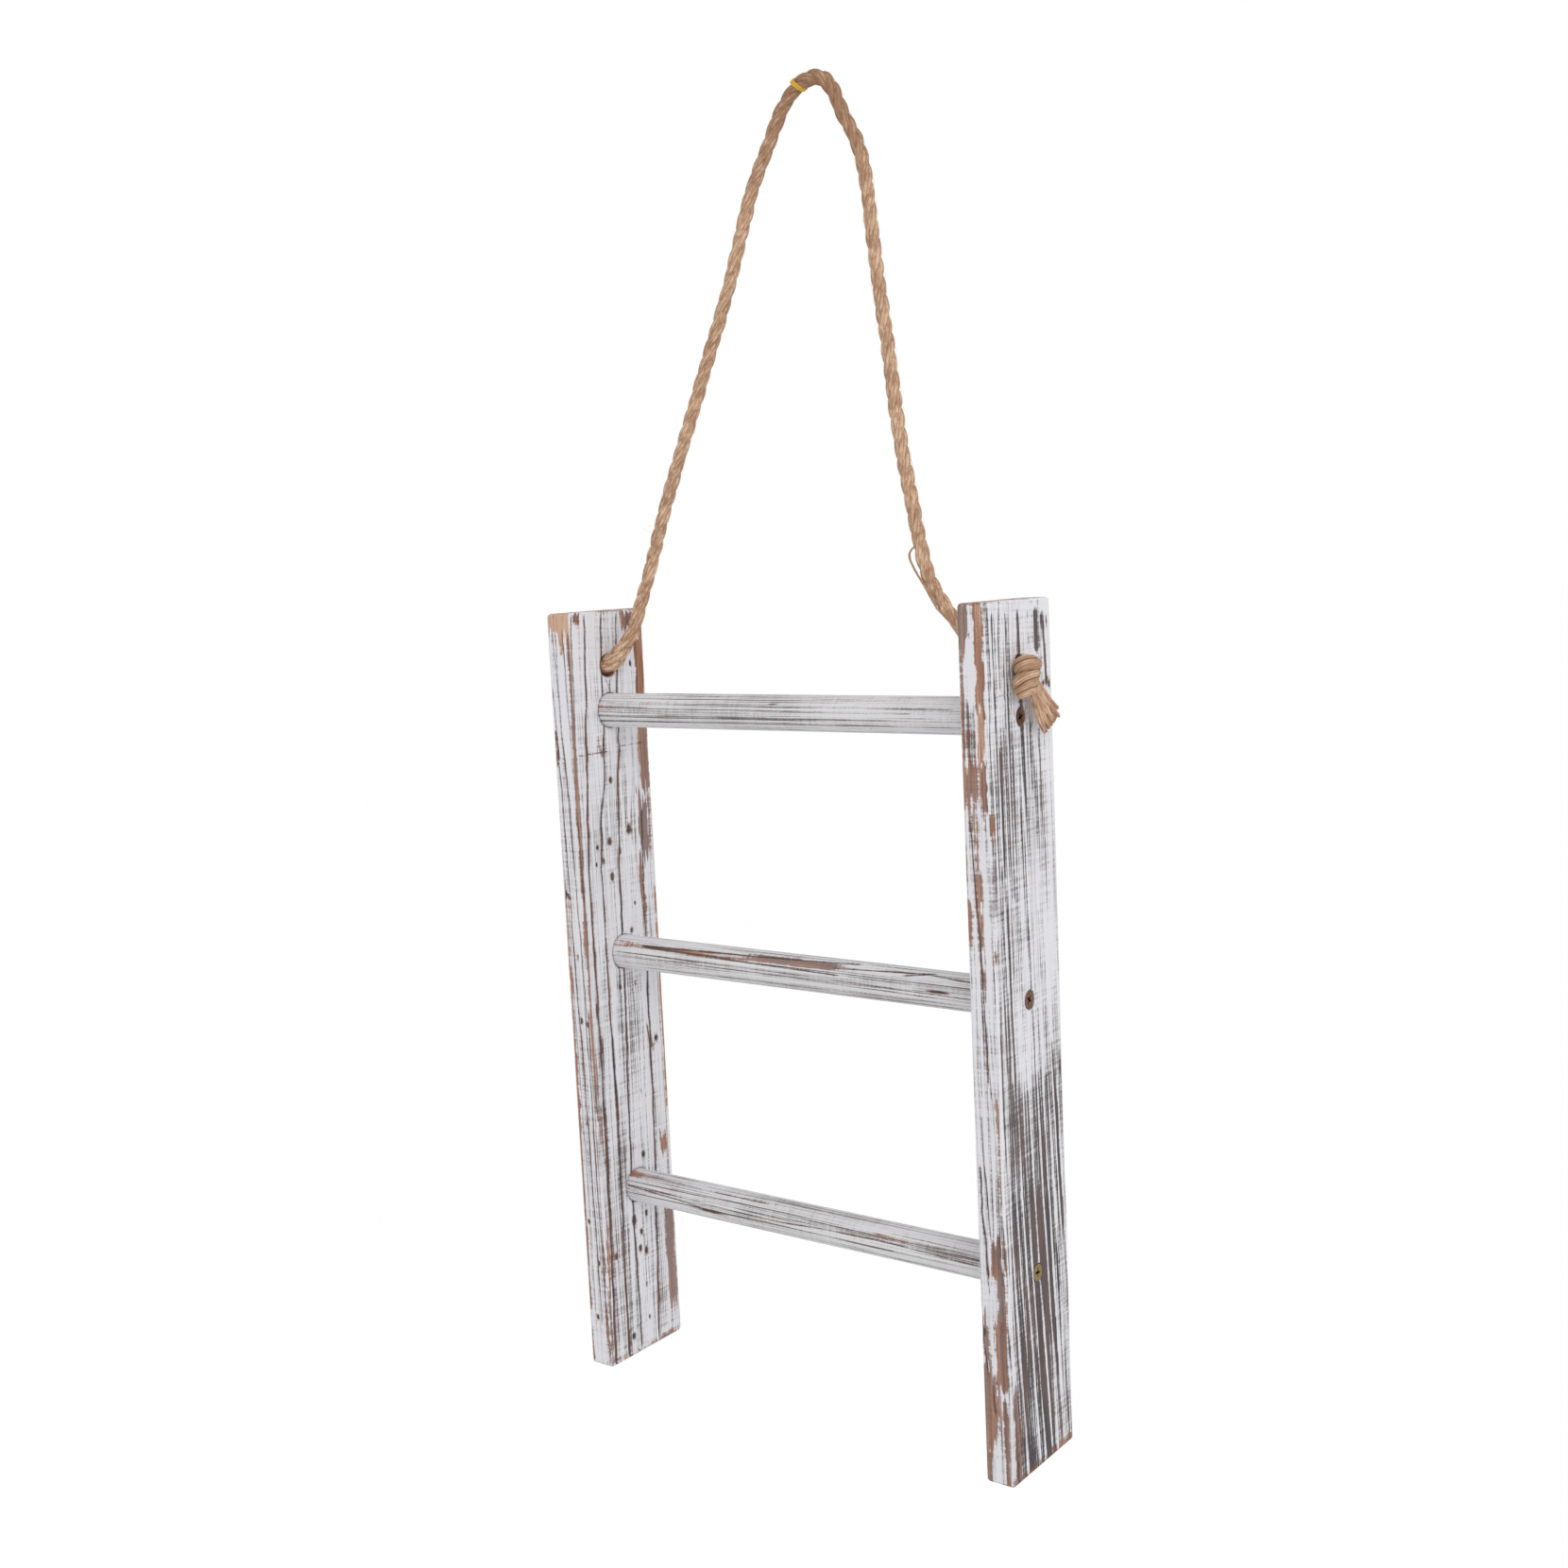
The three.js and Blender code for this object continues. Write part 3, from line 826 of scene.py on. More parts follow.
@dataclass
class StopperKnot:
    """The wound knot outside one board, with its frayed tail.

    It is worked out about the point where the rope's middle line leaves the board, with x
    growing outwards on the right-hand side, and mirrored for the left one.
    """

    side: str
    jute: Material
    height: float = 23.5
    width: float = 16.0
    reach: float = 12.0
    turns: float = 2.5
    drop: float = 3.8
    forward: float = 5.0
    lean: float = 15.0
    slant: Pairs = ((0, 0.1), (0.2, 0.15), (0.45, 0.4), (1, 0.42))
    bend: tuple[float, float] = (2.2, 4.2)
    band_heights: Pairs = (
        (-0.03, 5.6), (0.1, 6.2), (0.2, 5.6), (0.3, 4.2), (0.4, 2.2), (0.5, -0.6),
        (0.6, -1.4), (0.8, -4.8), (0.9, -7.0), (1.0, -7.8), (1.03, -8.0),
    )
    band_radii: Pairs = (
        (0, 4.1), (0.12, 4.6), (0.24, 4.6), (0.45, 4.1), (0.8, 3.8), (1, 3.3),
    )
    yarn_twist: float = -0.12
    clearance: float = 0.3
    inlet_radius: float = 3.9
    inlet_lift: float = 1.0
    tail_drop: float = 11.0
    tail_back: float = 2.5
    tail_length: float = 22.5
    tail_swing: float = 32.0
    tail_flare: float = 8.0
    tail_twist: float = 15.0
    bundles: tuple[YarnBundle, ...] = (
        YarnBundle(7, (-1.6, 2.2), (-3.8, 3.8), (1.0, 0.93), -1.6, 4.0, 0.95),
        YarnBundle(8, (2.2, 4.0), (2.8, 7.8), (0.93, 0.76), -1.3, 6.5, 0.85),
        YarnBundle(12, (-2.4, 1.6), (-7.0, 5.0), (1.0, 0.9), 0.4, 3.6, 0.95),
    )

    def place(self, points: Array) -> Array:
        """Puts right-hand knot points outside this knot's board."""
        return on_side(points, self.side, OUTER_REACH, ROPE_EXIT_Z)

    @property
    def centre(self) -> Array:
        """The middle of the wound turns."""
        return np.array([self.reach / 2 + self.clearance, -self.forward, -self.drop])

    def leaned(self, points: Array) -> Array:
        """Leans points about the knot's middle back, and moves them there."""
        return points @ turn_about(0, -self.lean).T + self.centre

    def half_size(self, less: float) -> Array:
        """Half the knot's reach, width and height, less so much."""
        return np.array([self.reach, self.width, self.height]) / 2 - less

    def add_turns(self, skin: Skin) -> None:
        """The rope's turns, wound down from the back of the knot's top and leaned back.

        With a = 2 pi turns t, a turn's middle is (rx sin a, ry cos a, z) where z comes down
        by the heights of the bands, plus a slant that lifts each band's back end.
        """
        t = np.linspace(-0.03, 1.03, 22)
        angle = TURN * self.turns * t
        flat = np.stack([self.bend[0] * np.sin(angle), self.bend[1] * np.cos(angle)], axis=1)
        slant = follow(self.slant, t) * (0.8 * flat[:, 0] + 0.6 * flat[:, 1])
        path = smooth_route(np.column_stack([flat, follow(self.band_heights, t) + slant]), 0.3)
        share = run_length(path) / run_length(path)[-1]
        toward = path * np.array([1.0, 1.0, 0.0]) @ turn_about(0, -self.lean).T
        lumps = 0.97 + 0.06 * value_noise(share * 16, 0, 23)
        radius = follow(self.band_radii, share) * lumps
        rings, uv, valley = tube_rings(
            self.leaned(path), toward, radius, 64, 0.07, self.yarn_twist, bundle=16, bundle_depth=0.13
        )
        uv[..., 0] *= 1.6
        # The hollows between yarns and bundles get painted shade.
        skin.add_tube(self.place(rings), uv, valley=valley)

    def add_shade_core(self, skin: Skin) -> None:
        """What shows between the turns: a ball a little smaller than they are, coloured dark as painted
        shade.
        """
        row, column = np.meshgrid(np.linspace(0, math.pi, 17), np.arange(24), indexing="ij")
        turn = TURN * column / 24
        ball = np.stack([np.sin(row) * np.cos(turn), np.sin(row) * np.sin(turn), np.cos(row)], axis=2)
        skin.add_grid(self.place(self.leaned(ball * self.half_size(1.4))), closed=True, valley=0.9)

    def add_inlet(self, skin: Skin) -> None:
        """The rope's short way from the board into the knot."""
        t = np.linspace(0, 1, 12)[:, None]
        start = np.array([self.clearance, 0, self.inlet_lift])
        path = start + t * (self.centre * [1, 0.5, 0.5] - start)
        toward = np.broadcast_to([0.0, 1.0, 0.0], path.shape)
        rings, uv, valley = tube_rings(path, toward, self.inlet_radius, 36, 0.14, 0.2)
        # The inlet is darker all along, with painted shade in its hollows.
        skin.add_tube(self.place(rings), uv, valley=0.3 + 0.7 * valley)

    def tail_turn(self) -> Array:
        """The tail's own directions: -Z runs down it, Y spans its fan and X is its thickness."""
        swing, flare = turn_about(0, self.tail_swing), turn_about(1, -self.tail_flare)
        return swing @ flare @ turn_about(2, -self.tail_twist)

    def add_tail(self, skin: Skin) -> tuple[Array, Array]:
        """The frayed end: yarns in bundles that spread into a fan.

        A yarn's place across the fan goes from its start to its end as t^0.85, with a slow
        wave, and it thins at its tip.

        Returns:
            The tips of the yarns and the ways that they point, before they are placed.
        """
        turn = self.tail_turn()
        root = np.array([self.centre[0], self.tail_back, -self.tail_drop])
        rng = np.random.default_rng(31)
        tips, ways = [], []
        for bundle in self.bundles:
            for number, share in enumerate(np.linspace(0, 1, bundle.count)):
                spans = (bundle.starts, bundle.ends, bundle.lengths)
                start, end, length = (first + (last - first) * share for first, last in spans)
                t = np.linspace(0, 1, 34)
                reach = (self.tail_length * length * rng.uniform(0.95, 1.05) + bundle.above) * t
                phase = rng.uniform(0, TURN)
                across = start + (end - start) * t**0.85 + 0.4 * np.sin(5.5 * t + phase)
                deep = bundle.depth + 0.7 * (number % 2) + 0.45 * np.sin(4.5 * t + phase * 2)
                path = np.stack([deep * (1 - 0.3 * t), across, bundle.above - reach], axis=1) @ turn.T + root
                radius = bundle.radius * rng.uniform(0.88, 1.1) * (1 - 0.45 * smooth(0.94, 1.0, t))
                toward = np.broadcast_to(turn[:, 0], path.shape)
                rings, uv, valley = tube_rings(path, toward, radius, 12, 0.2, rng.uniform(-0.2, 0.2))
                uv[..., 0] = uv[..., 0] * 0.5 + rng.uniform(0, 9)
                # Painted shade in the hollows between each yarn's ridges.
                skin.add_tube(self.place(rings), uv, valley=valley)
                tips.append(path[-3])
                ways.append(path[-1] - path[-5])
        return np.array(tips), unit(np.array(ways))

    def add_wisps(self, skin: Skin, tips: Array, ways: Array) -> None:
        """Fine fibres at the yarns' tips and over the turns."""
        rng = np.random.default_rng(35)
        mirror = side_mirror(self.side)
        fray = FuzzPatch(520, 1.2, 2.9, 0.3, 0.085)
        pick = rng.integers(0, len(tips), fray.count)
        spread = unit(rng.normal(0, 1, (fray.count, 3)))
        heading = unit(ways[pick] + 0.2 * spread)
        out = unit(np.cross(heading, spread))
        start = self.place(tips[pick] - 0.9 * ways[pick] + 0.6 * spread)
        add_fibres(skin, start, heading * mirror, out * mirror, fray, 36)
        fuzz = FuzzPatch(150, 1.5, 3.5, 0.16, 0.04)
        around = unit(rng.normal(0, 1, (fuzz.count, 3)) * [1, 1, 0.9] + [0.5, -0.2, 0])
        start = self.place(self.leaned(around * self.half_size(0.6)))
        heading = unit(np.cross(around, rng.normal(0, 1, (fuzz.count, 3))))
        add_fibres(skin, start, heading * mirror, unit(around + 0.01) * mirror, fuzz, 37)

    def build(self) -> Piece:
        """Makes the knot as one piece and sets it on the rope."""
        skin = Skin(f"knot_{self.side}")
        self.add_shade_core(skin)
        self.add_inlet(skin)
        self.add_turns(skin)
        self.add_wisps(skin, *self.add_tail(skin))
        knot = skin.make(self.jute, 60)
        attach(knot, "rope")
        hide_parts(f"rope_knot_{self.side}")
        return knot


# Wood


class Channel(Enum):
    """What a mark on the wood is, by the name of the value that it writes."""

    GROOVE = "groove"
    SMOKE = "smoke"
    WORN = "worn"


@dataclass(frozen=True)
class Streak:
    """A mark that runs along the grain.

    The course is (drop, place) pairs: millimetres below the top, and across the face. Its
    value is 1 on the course, a half at half its width and 0 at its whole width.
    """

    course: Pairs
    width: float
    strength: float
    channel: Channel = Channel.GROOVE
    fresh: float = 0.0

    def read(self, across: Array, drop: Array, seed: int) -> Array:
        """How strong the mark is at each place."""
        drops, places = np.array(self.course, float).T
        slow, quick = value_noise(drop / 17, seed, seed) - 0.5, value_noise(drop / 5, seed, 2) - 0.5
        middle = np.interp(drop, drops, places) + (0.9 * slow + 0.5 * quick) * min(1.0, self.width / 1.5)
        taper = 5 if self.channel is Channel.GROOVE or drops[0] < 20 else 22
        first, last = drops[0] - 1.5, drops[-1] + 1.5
        ends = np.clip((drop - first) / taper, 0, 1) * np.clip((last - drop) / taper, 0, 1)
        half = self.width / 2 * (0.7 + 0.6 * value_noise(drop / 11, seed, 3)) * (0.35 + 0.65 * ends)
        return self.strength * ends * np.clip(1 - 0.5 * np.abs(across - middle) / half, 0, 1)


@dataclass(frozen=True)
class Patch:
    """A rubbed place between two drops and two places across, with soft, ragged ends."""

    top: float
    bottom: float
    near: float
    far: float
    strength: float = 1.0
    fresh: float = 0.3
    channel: Channel = Channel.WORN
    slant: float = 0.0
    soft: float = 1.2

    def read(self, across: Array, drop: Array, seed: int) -> Array:
        """How strong the mark is at each place, a half on its outline."""
        bends = 1.4 * (value_noise(drop / 12, seed, 7) - 0.5)
        nicks = 1.3 * (value_noise(drop / 3.2, across / 1.6, seed) - 0.5)
        shifted = across - self.slant * (drop - self.top) + bends + nicks
        fringe = min(16, 0.6 * (self.bottom - self.top))
        jagged = drop + fringe * (value_noise(across / 1.1, seed, 8) - 0.5)
        inside = np.minimum(
            np.minimum(shifted - self.near, self.far - shifted),
            np.minimum(jagged - self.top, self.bottom - jagged) * 0.35,
        )
        return self.strength * np.clip(0.5 + 0.5 * inside / self.soft, 0, 1)


@dataclass(frozen=True)
class Fleck:
    """A small dark dent, longer along the grain than across it."""

    drop: float
    place: float
    radius: float = 1.2
    channel: Channel = Channel.GROOVE
    fresh: float = 0.2

    def read(self, across: Array, drop: Array, seed: int) -> Array:
        """How strong the mark is at each place."""
        off = np.hypot(across - self.place, (drop - self.drop) / 1.5)
        return np.clip(1 - 0.5 * off / self.radius, 0, 1) * 1.35


Mark = Streak | Patch | Fleck
Marks = tuple[Mark, ...]


def read_marks(marks: Marks, across: Array, drop: Array, seed: int, smoke: Array | float) -> dict[str, Array]:
    """The strongest mark of each kind at each place.

    Args:
        marks: The marks; each one's place in the row picks how it wanders.
        across: Places across the grain.
        drop: Places along it.
        seed: Picks how they all wander.
        smoke: How far the wash is rubbed where there is no mark.

    Returns:
        The values by name, with 'fresh' for how pale the bare wood is.
    """
    values = {channel.value: np.zeros(across.shape) for channel in Channel}
    values["smoke"] += smoke
    fresh = np.zeros(across.shape)
    for number, mark in enumerate(marks):
        value = mark.read(across, drop, seed * 50 + number)
        name = mark.channel.value
        if mark.channel is Channel.WORN:
            fresh = np.where(value > values[name], mark.fresh, fresh)
        values[name] = np.maximum(values[name], value)
    return values | {"fresh": fresh}


@dataclass(frozen=True)
class Crack:
    """A thin split across the grain, which needs rows of its own in the mesh."""

    drop: float
    near: float
    far: float
    strength: float = 0.85


@dataclass(frozen=True)
class BoardFace:
    """What one face of a board shows.

    Its grain drifts sideways by the drift at each drop, times the share at each place across
    the face. Thin is how far the wash is rubbed all over, and ribs is how far the ridges of
    the grain keep it where it is rubbed.
    """

    marks: Marks
    drift: Pairs = ((0, 0), (450, 0))
    share: Pairs = ((-32, 1), (32, 1))
    thin: float = 0.2
    ribs: float = 0.5
    cracks: tuple[Crack, ...] = ()

    def across_grain(self, place: Array, drop: Array) -> Array:
        """Where places lie across the grain."""
        return place - follow(self.drift, drop) * follow(self.share, place)

    def ridges(self, across: Array, drop: Array, seed: int) -> Array:
        """How far each place is on a ridge of the grain, from 0 to 1.

        The ridges are the peaks of a cosine across the grain to the fifth power, about 5.6 mm
        apart, with noise in their places and their strength, and fainter ones between them.
        """
        grain = self.across_grain(across, drop)
        phase = grain / 5.6 + 0.9 * value_noise(grain / 13, drop / 160, seed * 7 + 4)
        strength = 0.3 + 1.3 * value_noise(grain / 4, drop / 50, seed * 7 + 5)
        strong = (0.5 + 0.5 * np.cos(TURN * phase)) ** 5 * strength
        between = (0.5 + 0.5 * np.cos(TURN * 2.7 * phase)) ** 2
        faint = value_noise(grain / 2, drop / 35, seed * 7 + 6) * between
        return np.minimum(1, np.maximum(strong, 0.75 * faint))

    def read(self, across: Array, drop: Array, seed: int) -> dict[str, Array]:
        """The marks' values, and the fine lines of the grain.

        Args:
            across: Places across the face, from its middle.
            drop: Places below the top.
            seed: Picks how the marks wander.

        Returns:
            The values by name.
        """
        lines = grain_lines(self.across_grain(across, drop), drop, seed * 7)
        values = read_marks(self.marks, across, drop, seed, self.thin)
        for crack in self.cracks:
            inside = (across > crack.near) & (across < crack.far)
            uneven = 0.45 + 0.75 * value_noise(across / 2.5, 0, 77)
            split = np.clip(1.1 - np.abs(drop - crack.drop) / 0.7, 0, 1) * uneven * crack.strength
            values["groove"] = np.maximum(values["groove"], inside * split)
        rubbed = 1 + self.ribs * (0.2 - self.ridges(across, drop, seed))
        values["smoke"] = values["smoke"] * rubbed + 0.5 * lines
        for name, weight in (("worn", 0.22), ("groove", 0.12)):
            values[name] = np.where(values[name] > 0, values[name] + weight * lines, 0)
        return values | {"lines": lines}


def grooves(*rows: tuple) -> tuple[Streak, ...]:
    """Brushed grooves, each from its width, its strength and its course."""
    return tuple(Streak(tuple(course), width, strength) for width, strength, *course in rows)


def bands(*rows: tuple) -> tuple[Streak, ...]:
    """Dark bands that the saw marks cross, each from its width, its strength and its course.

    Their strength is raised by 1.55 to show through the grain.
    """
    return tuple(
        Streak(tuple(course), width, 1.55 * strength, Channel.SMOKE) for width, strength, *course in rows
    )


def flecks(*spots: tuple[float, float, float]) -> tuple[Fleck, ...]:
    """Dark dents, each from its drop, its place and its radius."""
    return tuple(Fleck(*spot) for spot in spots)


def thinned(
    top: float, bottom: float, near: float, far: float, strength: float, soft: float = 1.2, slant: float = 0.0
) -> Patch:
    """A place where the wash is rubbed thin over dark wood."""
    return Patch(top, bottom, near, far, strength, channel=Channel.SMOKE, slant=slant, soft=soft)


def unseen_face(width: float, seed: int) -> BoardFace:
    """A face that the photo doesn't show: wandering grooves, rubs and dents.

    Args:
        width: How wide the face is, with its places from -width / 2 to width / 2.
        seed: Picks the marks.

    Returns:
        The face, with marks alike in kind and number to those of the faces that show.
    """
    rng = np.random.default_rng(seed)
    marks: list[Mark] = []
    drops = np.linspace(0, 450, 9)
    for place in np.arange(-width / 2 + 3, width / 2 - 1, 7.5):
        course = place + rng.uniform(-1.5, 1.5) + np.cumsum(rng.normal(0, 1.0, len(drops)))
        marks.append(Streak(tuple(zip(drops, course)), rng.uniform(1.0, 1.8), rng.uniform(0.75, 1.0)))
    for _ in range(round(width / 7)):
        top, place = rng.uniform(0, 380), rng.uniform(-width / 2, width / 2)
        marks.append(Patch(top, top + rng.uniform(25, 90), place - 2, place + rng.uniform(1, 3),
                           rng.uniform(0.55, 0.8), rng.uniform(0.1, 0.6)))
    for _ in range(round(width / 4)):
        marks.append(Fleck(rng.uniform(8, 440), rng.uniform(-width / 2, width / 2), rng.uniform(0.8, 1.6)))
    for _ in range(round(width / 12)):
        top, place = rng.uniform(0, 330), rng.uniform(-width / 2, width / 2)
        end = (top + rng.uniform(50, 120), place + rng.uniform(-3, 3))
        marks += bands((rng.uniform(2, 5), rng.uniform(0.5, 0.8), (top, place), end))
    for _ in range(round(width / 14) + 1):
        top, place = rng.uniform(-20, 330), rng.uniform(-width / 2, width / 2)
        marks.append(thinned(top, top + rng.uniform(60, 160), place - rng.uniform(4, 12),
                             place + rng.uniform(4, 12), rng.uniform(0.35, 0.5), soft=4))
    return BoardFace(tuple(marks), ((0, 0), (450, rng.uniform(-9, 9))))


LEFT_INNER_MARKS: Marks = (
    *grooves(
        (1.3, 0.9, (0, -28.5), (60, -30.5), (150, -31), (260, -31.2)),
        (2.0, 1.0, (0, -17), (50, -20), (85, -22.5), (150, -26), (300, -25), (380, -26.2), (450, -28.5)),
        (2.2, 0.95, (225, -25.6), (300, -24.6), (380, -25.8), (452, -28)),
        (1.8, 1.0, (0, -3.8), (70, -6.3), (100, -8.5), (120, -13), (150, -15), (225, -15.2),
         (300, -14), (450, -16.5)),
        (2.0, 1.0, (250, -15), (300, -13.6), (452, -16.1)),
        (1.7, 1.0, (0, 10), (45, 7.5), (80, 5.5), (105, 3), (150, 0.6), (225, -1.3), (300, -3.8),
         (375, -5), (450, -4.2)),
        (1.9, 1.0, (118, 22.5), (150, 21.5), (225, 19.5), (300, 18.5), (370, 15), (450, 12)),
        (1.6, 0.9, (248, 16), (262, 18), (300, 19)),
        (0.8, 0.85, (37, -3.2), (46, 0.3)),
        (0.8, 0.8, (37, 3.8), (46, 0.8)),
    ),
    Patch(75, 85, -14, -5, 0.56, 0.2),
    Patch(16, 60, 23.5, 31.5, 1.0, 0.42),
    Patch(54, 106, 23, 31.5, 1.0, 0.26),
    Patch(112, 148, 19.5, 27, 1.1, 0.05),
    Patch(106, 150, 27, 31.5, 0.62),
    Patch(148, 196, 17.3, 22.3, 0.72),
    Patch(165, 305, 29.5, 33, 0.75, 0.75),
    Patch(366, 432, 22.5, 31, 0.72, 0.08),
    Patch(372, 400, 24, 29, 0.7),
    Patch(262, 312, -32.5, -26, 0.62, 0.15, soft=3),
    Patch(258, 268, 18, 27, 0.7, 0.1),
    Patch(322, 334, 22, 28, 0.75, 0.35),
    Patch(0, 9, -27, -21, 0.75, 0.4),
    Patch(0, 12, 13, 23.5, 0.95, 0.35),
    Patch(366, 404, -31.5, -28, 0.66, 0.35, slant=-0.02),
    Patch(400, 452, -32.5, -29.4, 0.62, 0.2),
    Patch(310, 345, -27.5, -24, 0.62, 0.2),
    thinned(0, 26, -3, 9, 0.32),
    thinned(40, 47, -3, 3, 0.4),
    thinned(225, 262, -13, -5, 0.36),
    Patch(445, 452, -31, 31, 0.55, 0.2),
    thinned(92, 170, -16, 18, 0.22, soft=6),
    thinned(196, 300, -30, 14, 0.27, soft=7),
    thinned(300, 455, -30, 20, 0.31, soft=7),
    *flecks(
        (32, 20, 1.1), (30, -12.8, 0.6), (99, -3, 1.3), (130, 10.5, 1.9), (135, -6.9, 1.5),
        (137, -17.7, 1.0), (142, 1.5, 1.0), (146, -12.8, 1.1), (147, -19.2, 0.9), (156, -6.4, 1.4),
        (191, 7.9, 1.3), (223, -4.9, 1.1), (226, 5.6, 0.8), (224, 8.2, 0.8), (261, 24.6, 1.5),
        (329, 7, 1.5), (366, 6.5, 1.2), (367, -4.8, 2.0), (376, 1.1, 1.3), (386, -0.8, 1.4),
        (389, 4.6, 1.6), (384, -22.5, 1.2), (438, -11.1, 1.5), (410, 3, 0.8), (200, -9, 0.8),
        (175, 12, 0.7), (290, 8, 0.7), (431, 4, 0.9), (345, -9.5, 0.8),
    ),
)

RIGHT_OUTER_MARKS: Marks = (
    *bands(
        (1.3, 0.8, (2, -29.8), (60, -29.5)),
        (2.3, 0.95, (4, -25), (60, -24), (150, -22)),
        (1.2, 0.8, (3, -19.7), (45, -19.7)),
        (1.1, 0.78, (4, -15.7), (60, -15.2), (150, -14)),
        (1.1, 0.72, (4, -12.8), (60, -12.6), (150, -12)),
        (1.6, 0.8, (5, -9.4), (60, -9), (110, -8.6)),
        (2.6, 1.1, (5, -0.6), (18, -0.3), (30, 0)),
        (3.4, 1.0, (30, 0.4), (60, 1.2), (118, 2.4)),
        (2.0, 0.9, (4, 8.4), (26, 8.6)),
        (2.8, 0.95, (44, 9.2), (70, 9.8), (118, 11.4)),
        (3.8, 1.1, (4, 16.8), (28, 17.4)),
        (1.8, 0.62, (50, 16.6), (130, 18.8)),
        (2.8, 1.2, (6, 24), (24, 25), (44, 26.6)),
        (2.2, 0.8, (8, 28.6), (16, 29)),
        (4.0, 0.9, (60, -23), (95, -22.6), (145, -20.7)),
    ),
    thinned(58, 150, -32.5, -26.5, 0.46, soft=3),
    thinned(60, 120, -16.5, -7.5, 0.4, soft=3),
    thinned(60, 130, -2, 14, 0.38, soft=3),
    *flecks((43, 24, 1.0), (42, 27.5, 1.5), (44, 30, 1.2)),
    *bands(*(
        (1.1, 0.5, (50, place), (100, place + 0.6), (150, place + 1.5))
        for place in (-31, -27.5, -20.5, -17.8, -9.6, -6.4, -3.6, 5.2, 13.4)
    )),
    Patch(102, 116, -33, -28, 0.8),
    *bands(
        (1.5, 0.55, (150, -30), (300, -29.5)),
        (1.8, 0.6, (150, -26.6), (300, -25.6), (345, -22.6)),
        (1.8, 0.6, (150, -23), (300, -21.5)),
        (2.4, 0.68, (140, -19.8), (225, -17.2), (300, -14.8)),
        (1.8, 0.5, (150, -15.4), (205, -14.4)),
        (3.2, 0.66, (225, 29), (265, 31.5)),
        (2.6, 0.9, (292, -31.6), (350, -31)),
        (2.6, 0.85, (358, -31.2), (390, -30.6)),
        (2.0, 1.05, (252, -15.8), (319, -11.5), (359, -8.2), (399, -5), (439, -1.5), (470, 1)),
        (1.7, 0.85, (280, -18), (319, -15.7), (359, -14.2), (399, -12.2), (439, -10), (470, -8.4)),
        (1.5, 0.85, (230, 1.2), (279, 4.6), (319, 6.9), (359, 10.5), (399, 13), (440, 14.9)),
        (2.0, 1.0, (228, 4.8), (279, 9), (319, 12), (359, 15.7), (399, 17.9), (420, 18.6)),
        (2.6, 0.9, (228, 12), (279, 16.4), (319, 19.4), (350, 21.6), (380, 23.1)),
        (3.2, 0.8, (218, 20), (265, 24), (319, 27), (346, 28.4)),
        (2.2, 0.9, (392, -28), (418, -27.2), (470, -26.2)),
    ),
    thinned(0, 62, -31, 31, 0.24, soft=5),
    thinned(50, 136, -31, 22, 0.5, soft=7),
    thinned(138, 182, -32, 3, 0.48, soft=6),
    thinned(176, 244, -12, 22, 0.32, soft=6),
    thinned(170, 250, -32, -10, 0.5, soft=6),
    thinned(236, 312, -30, 24, 0.72, soft=6, slant=0.03),
    thinned(292, 390, -26, 19, 1.04, soft=6, slant=0.03),
    thinned(366, 470, -26, 12, 1.12, soft=6, slant=0.05),
    thinned(300, 455, 12, 33, 0.46, soft=6),
    Patch(400, 452, -29.5, -22.5, 0.92, 0.12),
    Patch(446, 452, -32, 32, 0.9, 0.1),
    Patch(170, 178, -33, -30, 0.7),
    Patch(320, 372, -33, -31.2, 0.75, 0.35),
)

